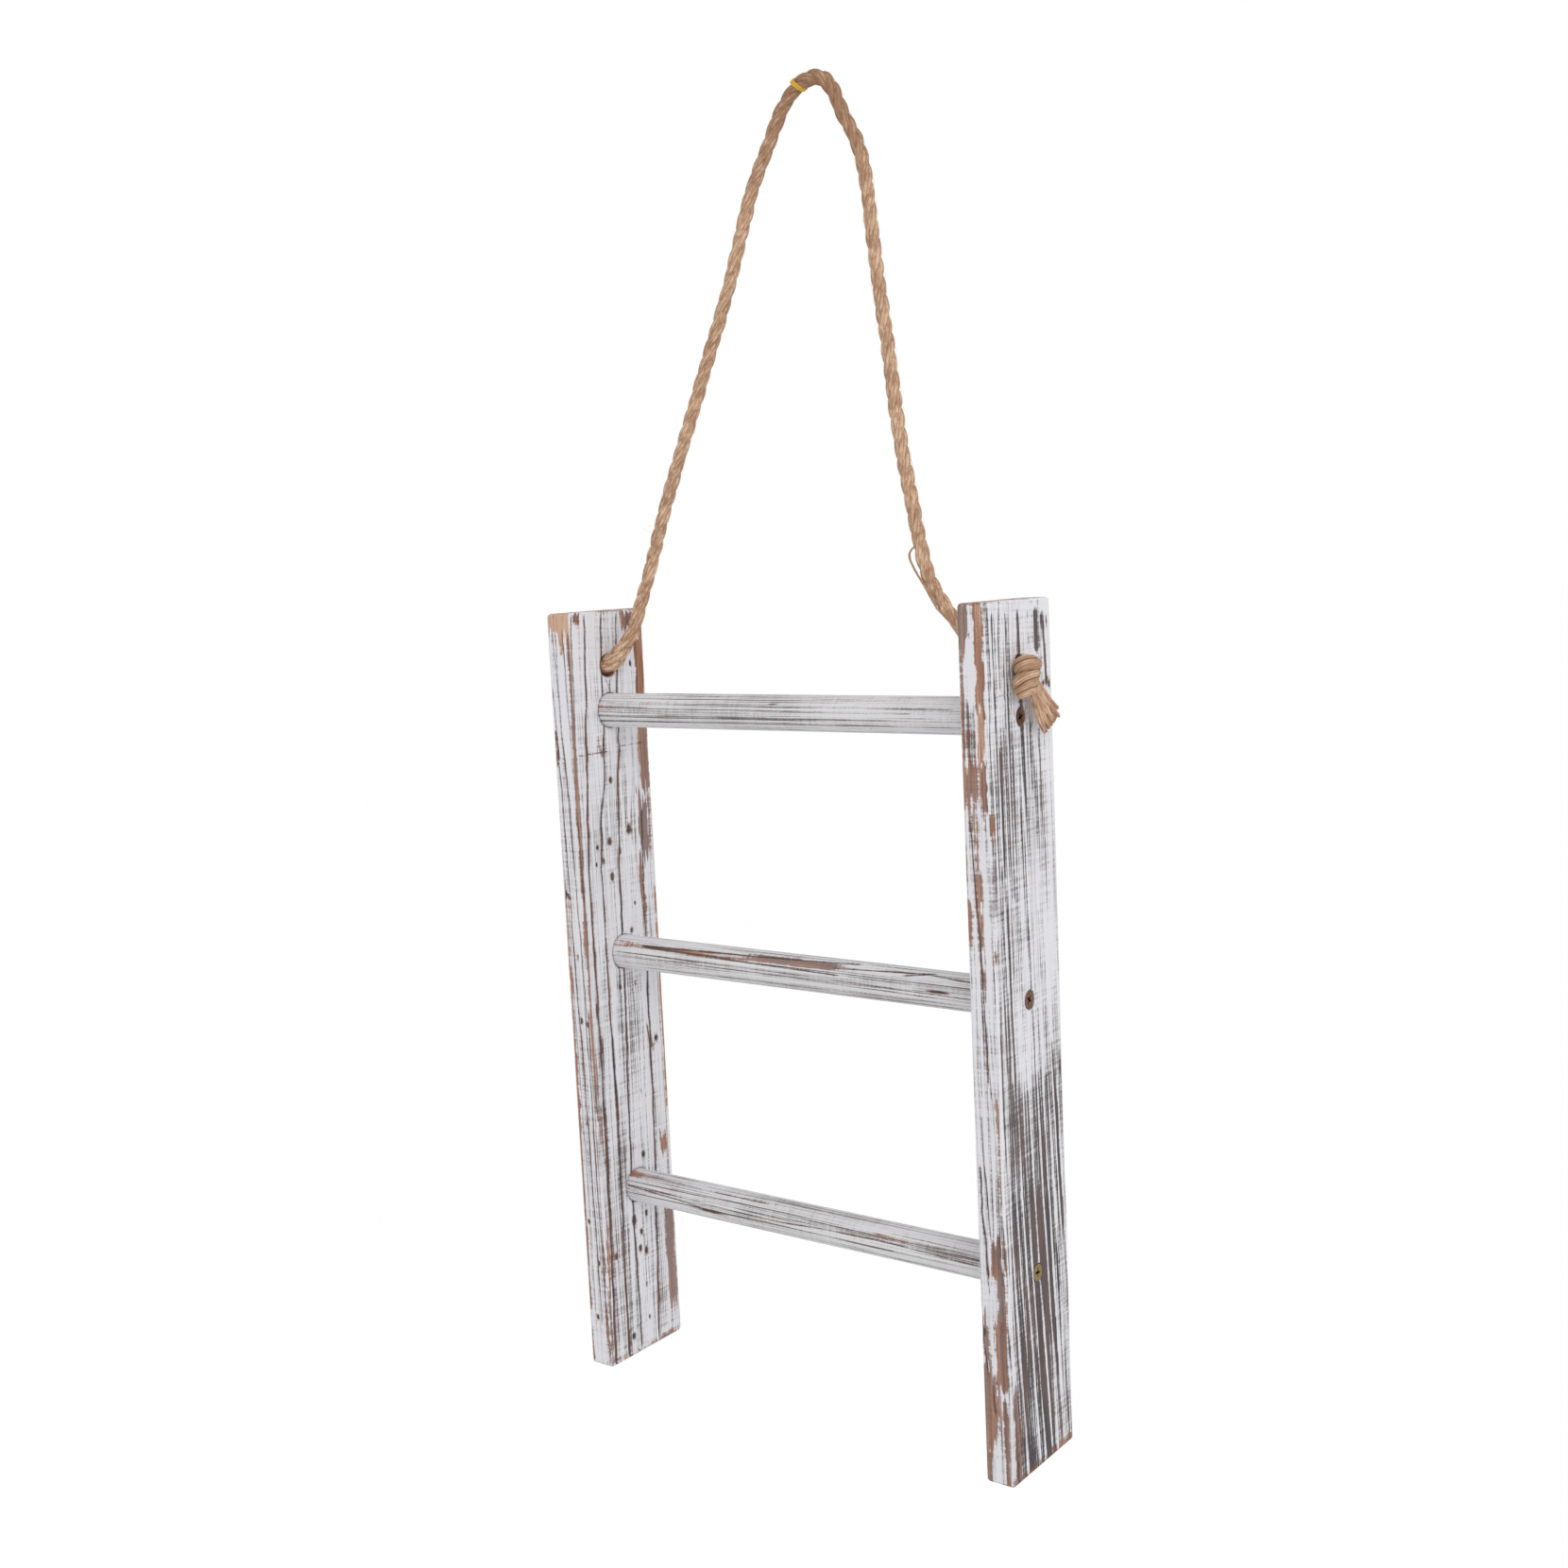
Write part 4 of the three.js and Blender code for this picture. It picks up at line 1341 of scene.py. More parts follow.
RIGHT_FRONT_MARKS: Marks = (
    Patch(-6, 19, -9, -1.4, 1.0, 0.2, soft=0.8),
    Patch(14, 62, -9, -5.4, 0.6, 0.05),
    Patch(-6, 52, 0.5, 5.8, 0.95, 0.34, soft=0.8, slant=0.014),
    Patch(50, 75, 1.4, 5.4, 1.0, 0.62, soft=0.8),
    thinned(46, 79, -8.8, 1.4, 0.62),
    Patch(54, 79, -8.8, -1, 0.5, 0.05, soft=3),
    Patch(77, 103, 2.0, 6.3, 0.9, 0.34, soft=0.8),
    Patch(76, 101, -8.8, 2.6, 0.78, 0.26, soft=2.4),
    Patch(100, 114, -6, 5, 0.5, 0.2),
    *grooves((0.9, 0.95, (104, -4.8), (113, -4.1), (155, -1.8), (187, -0.2), (226, 0.7), (240, 1.0))),
    Patch(114, 136, -2.9, -0.6, 0.72, 0.15, slant=0.03),
    Patch(132, 148, -2.2, 1.6, 0.76, 0.25),
    Patch(155, 172, -1.2, 1.0, 0.78),
    Patch(176, 194, 0.2, 2.4, 0.7, 0.2),
    thinned(205, 218, -0.6, 2.2, 0.6),
    Patch(119, 138, -9, -6.2, 0.8, 0.2),
    Patch(147, 169, -9, -4.2, 0.66, 0.2),
    thinned(112, 165, 6.4, 9, 0.5),
    *grooves(
        (1.0, 0.95, (256, -4.0), (276, -3.2), (295, -2.0), (322, -0.4)),
        (1.5, 1.05, (280, -5.6), (307, -4.9), (329, -3.6), (342, -2.8)),
        (0.8, 0.7, (225, 1.2), (252, 3.2), (290, 4.4), (345, 5.2)),
    ),
    Patch(246, 300, 4.4, 9, 0.68, 0.2),
    thinned(300, 345, 5.8, 9, 0.62),
    Patch(316, 331, -0.8, 5.0, 0.8),
    Patch(322, 340, -0.4, 5.4, 0.95),
    Patch(336, 366, 2.0, 7.0, 0.86, 0.2),
    Patch(360, 398, -0.4, 7.2, 0.95),
    Patch(340, 470, 6.2, 9, 0.8, 0.12),
    Patch(396, 428, -2.6, 0.4, 0.72, 0.12),
    *grooves((0.9, 0.9, (337, -3.4), (350, -2.2))),
    Fleck(369, -6.8, 1.3),
    Patch(362, 392, -7.8, -4.6, 0.95, 0.12, slant=0.05),
    Patch(384, 430, -7.0, -2.2, 1.0, 0.28, slant=0.04),
    Patch(388, 470, -9, -4.6, 0.95, 0.2),
    *grooves(
        (1.3, 1.0, (356, -8.2), (378, -6.4), (394, -5.0)),
        (1.2, 1.0, (394, -2.6), (414, -1.2)),
    ),
    Patch(336, 362, 3.0, 6.0, 0.62, 0.12),
    Patch(358, 394, 2.4, 7.6, 0.9, 0.34),
    Patch(388, 414, -0.4, 2.2, 0.72, 0.25),
    Patch(404, 470, 2.8, 6.0, 0.9, 0.3, soft=0.8),
    Patch(336, 452, 6.8, 9, 0.62, 0.05),
)

LEFT_FRONT_MARKS: Marks = (
    Patch(-4, 11, -8.5, 8.5, 1.0, 0.95),
    Patch(6, 27, 1.6, 4.6, 0.95, 0.85),
    *grooves(
        (1.1, 0.86, (8, -4), (60, -2), (112, 1), (160, 2.6), (225, 4), (337, 4.6), (400, 5.6), (425, 6)),
        (1.0, 0.84, (8, 3), (60, 4.8), (112, 6.4), (170, 7.6)),
        (1.1, 0.84, (40, -7), (112, -4), (170, -2.8), (225, -2), (260, -0.6), (337, 0.5), (425, 2)),
        (0.8, 0.7, (150, -4.8), (225, -4.6), (300, -3.6), (380, -2.4)),
        (0.9, 0.75, (230, 6), (337, 6.6), (392, 6.4)),
    ),
    Patch(160, 452, -8.5, -5.4, 1.0, 0.34),
    Patch(60, 96, -8.5, -6.2, 0.95, 0.5),
    Patch(78, 86, -8, -4.4, 0.95),
    Patch(96, 162, -8.6, -7.2, 0.85, 0.4),
    Streak(((8, 7.9), (160, 7.9), (300, 8.2)), 2.4, 0.95, Channel.WORN, 0.3),
    Patch(380, 452, 5.6, 8.4, 0.7, 0.25),
    *flecks(
        (163, -6.2, 1.2), (165, -3.4, 0.7), (200, 0.4, 0.8), (238, 0.2, 1.1), (240, 4.6, 0.9),
        (300, -0.6, 0.7), (361, -4, 1.0), (386, 2.2, 1.0), (420, -1.2, 1.2),
    ),
)

LEFT_INNER = BoardFace(
    LEFT_INNER_MARKS,
    drift=((0, 0), (60, -3.2), (120, -8), (150, -9.5), (300, -11), (450, -14)),
    share=((-32, 0.2), (-26, 0.5), (-15, 1), (12, 1), (22, 0.5), (32, 0.1)),
    thin=0.1,
    cracks=(Crack(82, -29, -4, 0.8), Crack(80, 7, 29, 0.75)),
)
RIGHT_OUTER = BoardFace(
    RIGHT_OUTER_MARKS,
    drift=((0, 0), (150, 2.5), (300, 9), (450, 19)),
    share=((-32, 0.5), (-15, 0.7), (10, 1), (32, 1)),
    thin=0.21,
    ribs=1.2,
    cracks=(Crack(46, -25.6, -8, 0.5),),
)
RIGHT_FRONT = BoardFace(RIGHT_FRONT_MARKS, drift=((0, 0), (112, 0), (300, 6), (450, 4)), thin=0.2)
LEFT_FRONT = BoardFace(
    LEFT_FRONT_MARKS, drift=((0, 0), (450, 8.5)), thin=0.16, cracks=(Crack(163, -8, -3),)
)


@dataclass(frozen=True)
class Bore:
    """A round hole through a board.

    Half is half the side of the square block that it takes from each face's grid. Its mouths
    are its radii at the inner and the outer face. Its wall is (x, radius, shift) from one to
    the other, where the shift is how far that ring's middle lies below the hole's.
    """

    half: float
    mouths: tuple[float, float]
    wall: tuple[Point, ...]
    tan_rim: bool = False


ROPE_HOLE = Bore(9.0, (6.6, 5.15), ((0.9, 6.5, 0.0), (5.0, 6.5, 0.1), (15.2, 4.95, 0.0)), tan_rim=True)
RUNG_SOCKET = Bore(
    13.0,
    (10.3, 4.95),
    ((0.6, 10.3, 0.0), (5.0, 10.3, 0.0), (5.0, 2.55, 0.0), (12.75, 2.55, 0.0), (15.0, 4.8, 0.0)),
)


@dataclass
class SideBoard:
    """One side board of the ladder, brushed along its grain and washed white.

    It is worked out with x from 0 at its inner face to its thickness at its outer face, y
    from its front to its back about its middle, and z down from 0 at its top.
    """

    side: str
    finish: Material
    inner: BoardFace
    outer: BoardFace
    front: BoardFace
    back: BoardFace
    height: float = 450.0
    depth: float = 65.0
    thickness: float = 16.0
    edge: float = 1.5
    corner: float = 2.5
    column: float = 0.5
    row: float = 2.0
    groove_depth: float = 0.5
    bores: tuple[tuple[float, Bore], ...] = (
        (ROPE_DROP, ROPE_HOLE), *((drop, RUNG_SOCKET) for drop in RUNG_DROPS.values()),
    )

    def place(self, points: Array) -> Array:
        """Puts board points in this board's place."""
        return on_side(points, self.side, INNER_REACH, LADDER_TOP)

    def read_face(self, number: int, across: Array, drop: Array) -> dict[str, Array]:
        """The values and the depth of the brushed surface at places on one face.

        Args:
            number: The face, as the outline numbers it.
            across: Places across the face, from its middle.
            drop: Places below the top.

        Returns:
            The values by name, with 'sunk' for the depth in millimetres.
        """
        seed = number + 1 + 3 * (self.side == "right")
        if self.side == "left" and number % 2:
            across = -across
        values = self.faces()[number].read(across, drop, seed)
        values["sunk"] = (
            self.groove_depth * smooth(0.12, 0.85, values["groove"])
            + 0.2 * smooth(0.3, 0.95, values["smoke"])
            + 0.1 * smooth(0.35, 0.65, values["worn"])
            + 0.07 * (1 + values.pop("lines"))
            + 0.12 * value_noise(across / 6, drop / 60, seed)
        )
        return values

    def rows(self) -> Array:
        """Drops of the mesh rows: close together in the rounded ends and at the cracks."""
        half = self.height / 2
        rounded = self.corner * (1 - np.cos(np.linspace(0, math.pi / 2, 6)))
        near = np.concatenate([rounded, np.arange(3, half, self.row)])
        plain = np.concatenate([near, self.height - near])
        cracks = [crack for face in self.faces() for crack in face.cracks]
        splits = np.array([crack.drop + step for crack in cracks for step in (-0.8, 0, 0.8)])
        return np.unique(np.round(np.concatenate([plain, splits]), 3))

    def outline(self) -> tuple[Array, Array, Array]:
        """The board's cross-section, counter-clockwise from the inner face's front edge.

        Returns:
            The x and y of each point, which face it is on (0 inner, 1 back, 2 outer, 3
            front), and its place across that face.
        """
        wide = np.arange(-self.depth / 2 + self.edge, self.depth / 2 - self.edge + 1e-6, self.column)
        narrow = np.arange(self.edge, self.thickness - self.edge + 1e-6, self.column)
        bend = np.linspace(0, math.pi / 2, 5)[1:-1]
        low, high = self.edge, self.thickness - self.edge
        front, back = -self.depth / 2 + self.edge, self.depth / 2 - self.edge

        def round_corner(x: float, y: float, start: float) -> Array:
            """The three points inside a rounded corner about x, y."""
            angle = start - bend
            return np.stack([x + self.edge * np.cos(angle), y + self.edge * np.sin(angle)], axis=1)

        sides = (
            (0, wide), (narrow, self.depth / 2),
            (self.thickness, wide[::-1]), (narrow[::-1], -self.depth / 2),
        )
        inner, rear, outer, fore = (np.stack(np.broadcast_arrays(x, y), axis=1) for x, y in sides)
        parts = [
            inner, round_corner(low, back, math.pi), rear, round_corner(high, back, math.pi / 2),
            outer, round_corner(high, front, 0), fore, round_corner(low, front, -math.pi / 2),
        ]
        loop = np.concatenate(parts)
        face = np.concatenate([np.full(len(p), k) for p, k in zip(parts, (0, 0, 1, 1, 2, 2, 3, 3))])
        across = np.where(face % 2 == 0, loop[:, 1], loop[:, 0] - self.thickness / 2)
        return loop, face, across

    def faces(self) -> tuple[BoardFace, ...]:
        """The faces in the order in which the outline numbers them."""
        return self.inner, self.back, self.outer, self.front

    def ring_block(self, drop: float, half: float, radius: float, rows: Array) -> tuple[Array, Array]:
        """Rings of (y, drop) places from a square block of the face's grid to a round hole.

        The square's points are the grid's own. Each ring is the square shrunk in a straight
        line to the circle's point at the same angle.

        Args:
            drop: The hole's place below the top.
            half: Half the square's side.
            radius: The hole's radius there.
            rows: Drops of the face's rows.

        Returns:
            Places from the circle out to the square, and each column's angle.
        """
        y = np.arange(-half, half + 1e-6, self.column)
        d = rows[(rows > drop - half - 1e-6) & (rows < drop + half + 1e-6)]
        square = np.concatenate([
            np.stack([y[:-1], np.full(len(y) - 1, d[0])], axis=1),
            np.stack([np.full(len(d) - 1, half), d[:-1]], axis=1),
            np.stack([y[:0:-1], np.full(len(y) - 1, d[-1])], axis=1),
            np.stack([np.full(len(d) - 1, -half), d[:0:-1]], axis=1),
        ])
        angle = np.arctan2(square[:, 1] - drop, square[:, 0])
        circle = np.stack([radius * np.cos(angle), drop + radius * np.sin(angle)], axis=1)
        steps = max(4, round((half - radius) / 0.8))
        t = np.linspace(0, 1, steps + 1)[:, None, None]
        return circle[None] * (1 - t) + square[None] * t, angle

    def add_face_block(self, skin: Skin, face: int, places: Array, tan_rim: bool) -> Array:
        """Adds the rings round a hole's mouth, with a tan rubbed rim where tan_rim is set and a rim of
        painted shade elsewhere, and gives the mouth's own.
        """
        y, drop = places[..., 0], places[..., 1]
        values = self.read_face(face, y, drop)
        rim = 1 - smooth(0.0, 1.0, np.arange(len(places))[:, None] * np.ones(y.shape[1]) / 1.4)
        sunk = values.pop("sunk") + 0.25 * rim
        x = sunk if face == 0 else self.thickness - sunk
        grid = np.stack([x, y, -drop], axis=2)
        if tan_rim:
            values["worn"] = np.maximum(values["worn"], 0.9 * rim)
            values["fresh"] = np.where(rim > 0.3, 0.55, values["fresh"])
        else:
            # Painted shade: a dark rim round the mouth, where the hole, the rung or the screw head shades the
            # face.
            values["groove"] = np.maximum(values["groove"], rim * 0.62)
        skin.add_grid(self.place(grid), closed=True, **values)
        return grid[0]

    def add_passage(self, skin: Skin, drop: float, bore: Bore, rows: Array) -> None:
        """Adds one hole through the board: both mouths and the wall between them.

        Args:
            skin: Where it goes.
            drop: The hole's place below the top.
            bore: Its shape.
            rows: Drops of the face's rows.
        """
        rings = []
        for face, radius in zip((0, 2), bore.mouths):
            places, angle = self.ring_block(drop, bore.half, radius, rows)
            rings.append(self.add_face_block(skin, face, places, bore.tan_rim and face == 0))
        wall = [
            np.stack([np.full(len(angle), x), r * np.cos(angle), -drop - shift - r * np.sin(angle)], axis=1)
            for x, r, shift in bore.wall
        ]
        grid = np.stack([rings[0], *wall, rings[1]])
        skin.add_grid(self.place(grid), closed=True, groove=0.35, worn=0.9, fresh=0.15)

    def add_cap(self, skin: Skin, loop: Array, z: float) -> None:
        """Closes an end with a grid stretched between the four sides of its outline.

        The grid is the Coons patch of the sides: the sum of the two straight blends between
        opposite sides, less the blend of the four corners.
        """
        wide = round((self.depth - 2 * self.edge) / self.column) + 4
        narrow = round((self.thickness - 2 * self.edge) / self.column) + 4
        ring = np.roll(loop, 2, axis=0)
        ring = np.concatenate([ring, ring[:1]])
        south, east = ring[: wide + 1], ring[wide: wide + narrow + 1]
        north = ring[wide + narrow: 2 * wide + narrow + 1][::-1]
        west = ring[2 * wide + narrow:][::-1]
        u = np.linspace(0, 1, wide + 1)[None, :, None]
        v = np.linspace(0, 1, narrow + 1)[:, None, None]
        blends = (1 - v) * south[None] + v * north[None] + (1 - u) * west[:, None] + u * east[:, None]
        near = (1 - u) * (1 - v) * south[0] + u * (1 - v) * south[-1]
        flat = blends - near - (1 - u) * v * north[0] - u * v * north[-1]
        grid = np.concatenate([flat, np.full(flat.shape[:2] + (1,), z)], axis=2)
        rub = 0.35 + 0.5 * value_noise(flat[..., 0] / 3, flat[..., 1] / 6, 71)
        skin.add_grid(self.place(grid), worn=rub, fresh=0.6)

    def read_faces(self, face: Array, across: Array, rows: Array) -> dict[str, Array]:
        """The values at every row of the outline, each face's marks on its own columns."""
        values: dict[str, Array] = {}
        for number in range(4):
            chosen = face == number
            places, drops = np.meshgrid(across[chosen], rows)
            for name, value in self.read_face(number, places, drops).items():
                values.setdefault(name, np.zeros((len(rows), len(face))))[:, chosen] = value
        return values

    def rub_edges(self, values: dict[str, Array], loop: Array, face: Array, rows: Array) -> None:
        """Rubs the wash off the board's edges and ends in chips, and rounds them.

        Args:
            values: The values at every row of the outline, which it changes.
            loop: The outline's points.
            face: Which face each of them is on.
            rows: Drops of the rows.
        """
        middle = self.thickness / 2
        drop, end = rows[:, None], np.minimum(rows, self.height - rows)[:, None]
        flat_part = np.abs(loop[:, 0] - middle) / middle
        deep_part = np.abs(loop[:, 1]) / (self.depth / 2)
        arris = smooth(0.955, 1.0, flat_part * deep_part)
        large = value_noise(drop / 13, face * 3.0 + loop[:, 0] / 8, 61)
        chips = large * 0.6 + value_noise(drop / 3.5, loop[:, 1] / 30, 62) * 0.4
        worn_edge = arris * smooth(0.30, 0.62, chips)
        tip = smooth(2.2, 0.2, end) * smooth(0.25, 0.6, chips)
        rubbed = np.maximum(worn_edge, tip) * 0.9
        values["fresh"] = np.where(rubbed > values["worn"], 0.22, values["fresh"])
        values["worn"] = np.maximum(values["worn"], rubbed)
        values["sunk"] = values["sunk"] * (1 - arris) * smooth(0.0, 2.0, end) + 0.1 * worn_edge

    @staticmethod
    def rounded_half(half: float, radius: float, end: Array) -> Array:
        """Half the width at a distance from an end that a quarter circle rounds off."""
        return half - radius + radius * np.sqrt(1 - np.clip(1 - end / radius, 0, 1) ** 2)

    def add_sides(self, skin: Skin, rows: Array) -> Array:
        """Adds the four faces with their rounded edges, less the blocks round the holes.

        Args:
            skin: Where they go.
            rows: Drops of the rows.

        Returns:
            The points, row by row from the top.
        """
        loop, face, across = self.outline()
        values = self.read_faces(face, across, rows)
        self.rub_edges(values, loop, face, rows)
        sunk = values.pop("sunk")
        middle = self.thickness / 2
        end = np.minimum(rows, self.height - rows)
        half_x = self.rounded_half(middle, self.edge, end)
        half_y = self.rounded_half(self.depth / 2, self.corner, end)
        x = middle + (loop[:, 0] - middle) * (half_x / middle)[:, None]
        y = loop[:, 1] * (half_y / (self.depth / 2))[:, None]
        inward_x, inward_y = np.array([(1, 0), (0, -1), (-1, 0), (0, 1)])[face].T
        z = np.broadcast_to(-rows[:, None], x.shape)
        grid = np.stack([x + inward_x * sunk, y + inward_y * sunk, z], axis=2)
        keep = np.ones((len(rows) - 1, len(loop)), bool)
        mid_y, mid_d = (loop[:, 1] + np.roll(loop[:, 1], -1)) / 2, (rows[1:] + rows[:-1]) / 2
        on_face = (face == np.roll(face, -1)) & (face % 2 == 0) & (np.abs(mid_y) < self.depth / 2 - self.edge)
        for drop, bore in self.bores:
            keep &= ~(on_face & (np.abs(mid_y) < bore.half) & (np.abs(mid_d - drop) < bore.half)[:, None])
        skin.add_grid(self.place(grid), closed=True, keep=keep, **values)
        return grid

    def build(self) -> Piece:
        """Makes the board as one closed piece and sets it on the ladder."""
        skin = Skin(f"board_{self.side}")
        rows = self.rows()
        sides = self.add_sides(skin, rows)
        for drop, bore in self.bores:
            self.add_passage(skin, drop, bore, rows)
        self.add_cap(skin, sides[0, :, :2], 0.0)
        self.add_cap(skin, sides[-1, :, :2], -self.height)
        board = skin.make(self.finish, 50)
        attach(board, "ladder")
        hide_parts(f"rail_{self.side}")
        return board


@dataclass
class DowelRung:
    """A dowel rung with a pilot bore in each end for its screw.

    Its marks are streaks whose 'drop' is the distance from the rung's left end and whose
    place is degrees up from its front line.
    """

    place_name: str
    height: float
    finish: Material
    marks: Marks
    seed: int
    radius: float = 10.0
    half_length: float = 133.7
    bore_end: float = 113.5
    bore_radius: float = 2.55
    sides: int = 128

    @property
    def degrees(self) -> Array:
        """Degrees up from the front line, round one ring."""
        return 360 * np.arange(self.sides) / self.sides - 180

    def rings(self, x: Array, radius: Array) -> Array:
        """A ring of points round the rung's axis at each x."""
        angle = np.radians(self.degrees)
        places = np.broadcast_arrays(x[:, None], -radius * np.cos(angle), radius * np.sin(angle))
        return np.stack(places, axis=2) + np.array([LADDER_X, LADDER_Y, self.height])

    def add_side(self, skin: Skin) -> Array:
        """Adds the turned side with its fine ridges, and gives its rings from left to right."""
        ends = np.array([0.0, 0.5])
        x = np.concatenate([
            ends - self.half_length,
            np.arange(-self.half_length + 2, self.half_length - 1, 2.0),
            self.half_length - ends[::-1],
        ])
        run, angle = np.meshgrid(x + self.half_length, self.degrees, indexing="ij")
        arc = np.radians(angle) * self.radius
        values = read_marks(self.marks, angle, run, self.seed, 0.22 + 0.06 * smooth(-30, 50, angle))
        lines = grain_lines(arc + 0.004 * run, run, self.seed * 9)
        values["smoke"] = values["smoke"] + 0.34 * lines
        values["worn"] = np.where(values["worn"] > 0, values["worn"] + 0.25 * lines, 0)
        waves = 0.1 * value_noise(arc / 4 + 20, run / 70, self.seed + 1)
        worn_away = 0.28 * smooth(0.2, 0.9, values["groove"]) + 0.12 * smooth(0.3, 0.7, values["worn"])
        sunk = waves + 0.05 * (1 + lines) + worn_away
        sunk[0], sunk[-1] = 0.5, 0.5
        rings = self.rings(x, self.radius - sunk)
        skin.add_grid(rings, closed=True, **values)
        return rings

    def build(self) -> Piece:
        """Makes the rung, with a bore in each end, and sets it on the ladder."""
        skin = Skin(f"dowel_{self.place_name}")
        rings = self.add_side(skin)
        bore_x = np.array([self.half_length, self.bore_end, self.bore_end])
        bore_radius = np.array([self.bore_radius, self.bore_radius, 0.0])[:, None]
        for end, tip in ((-1, rings[:1]), (1, rings[-1:])):
            bore = np.concatenate([tip, self.rings(end * bore_x, bore_radius)])
            skin.add_grid(bore, closed=True, worn=0.95, fresh=0.7)
        rung = skin.make(self.finish, 50)
        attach(rung, "ladder")
        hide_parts(f"rung_{self.place_name}")
        return rung


RUNG_MARKS: dict[str, Marks] = {
    "top": (
        *grooves(
            (3.0, 0.62, (40, -20), (110, -17), (180, -22), (262, -27)),
            (3.0, 0.5, (6, 30), (120, 44), (200, 36), (262, 26)),
            (3.0, 0.5, (6, 12), (90, 8), (180, 12), (262, 8)),
        ),
        Patch(3, 9, 8, 30, 0.55, 0.6, soft=4),
        Fleck(130, 33, 1.8), Fleck(88, 66, 2),
    ),
    "middle": (
        Patch(100, 170, 33, 62, 1.05, 0.12, soft=5),
        *grooves(
            (7.0, 1.0, (24, 43), (60, 46), (110, 52), (150, 60), (180, 70)),
            (7.0, 1.0, (24, 40), (70, 33), (110, 26), (168, 20)),
            (6.0, 1.0, (160, 41), (190, 50), (215, 58), (228, 66)),
            (5.0, 1.0, (205, 42), (222, 58), (240, 50), (262, 44)),
        ),
        Patch(24, 66, 32, 46, 0.85, 0.1, soft=4),
        *grooves(
            (4.0, 0.95, (4, 12), (80, 8), (160, 4), (262, -8)),
            (3.5, 0.85, (4, 2), (80, -2), (180, -10), (262, -18)),
        ),
        Patch(2, 26, 30, 56, 0.62, 0.4, soft=5),
        Fleck(66, 36, 5.0, Channel.WORN, 0.3), Fleck(230, 5, 4.0),
    ),
    "bottom": (
        *grooves(
            (4.0, 0.98, (2, 18), (50, 12), (90, 6), (120, 4), (150, 12), (185, 16), (262, 2)),
            (4.5, 1.0, (2, 14), (35, 6), (60, -6), (70, -12)),
        ),
        Fleck(69, -13, 6.0),
        *grooves((3.5, 0.85, (2, 4), (22, -8))),
        Patch(70, 118, 50, 60, 0.62, 0.2, soft=3),
        Patch(186, 214, 26, 32, 0.8, 0.15, soft=3),
        thinned(180, 262, 30, 55, 0.34, soft=5),
        Patch(0, 10, 45, 88, 0.85, 0.35, soft=5),
        *grooves(
            (3.5, 0.85, (180, 34), (262, 28)),
            (3.0, 0.75, (190, 46), (262, 42)),
        ),
    ),
}


def rung_marks(place_name: str, seed: int) -> Marks:
    """The marks of one rung: fine grey lines all round, and what the photo shows of it.

    Args:
        place_name: Which rung.
        seed: Picks the fine lines.

    Returns:
        The marks.
    """
    rng = np.random.default_rng(seed)
    marks: list[Mark] = []
    for place in np.arange(-176, 180, 8.0):
        start, end = rng.uniform(-40, 40), rng.uniform(190, 300)
        drift = rng.uniform(-6, 6)
        middle = ((start + end) / 2, place + drift)
        course = ((start, place + rng.uniform(-4, 4)), middle, (end, place + drift * 1.4))
        marks += bands((rng.uniform(2.2, 3.8), rng.uniform(0.28, 0.48), *course))
    return tuple(marks) + RUNG_MARKS[place_name]


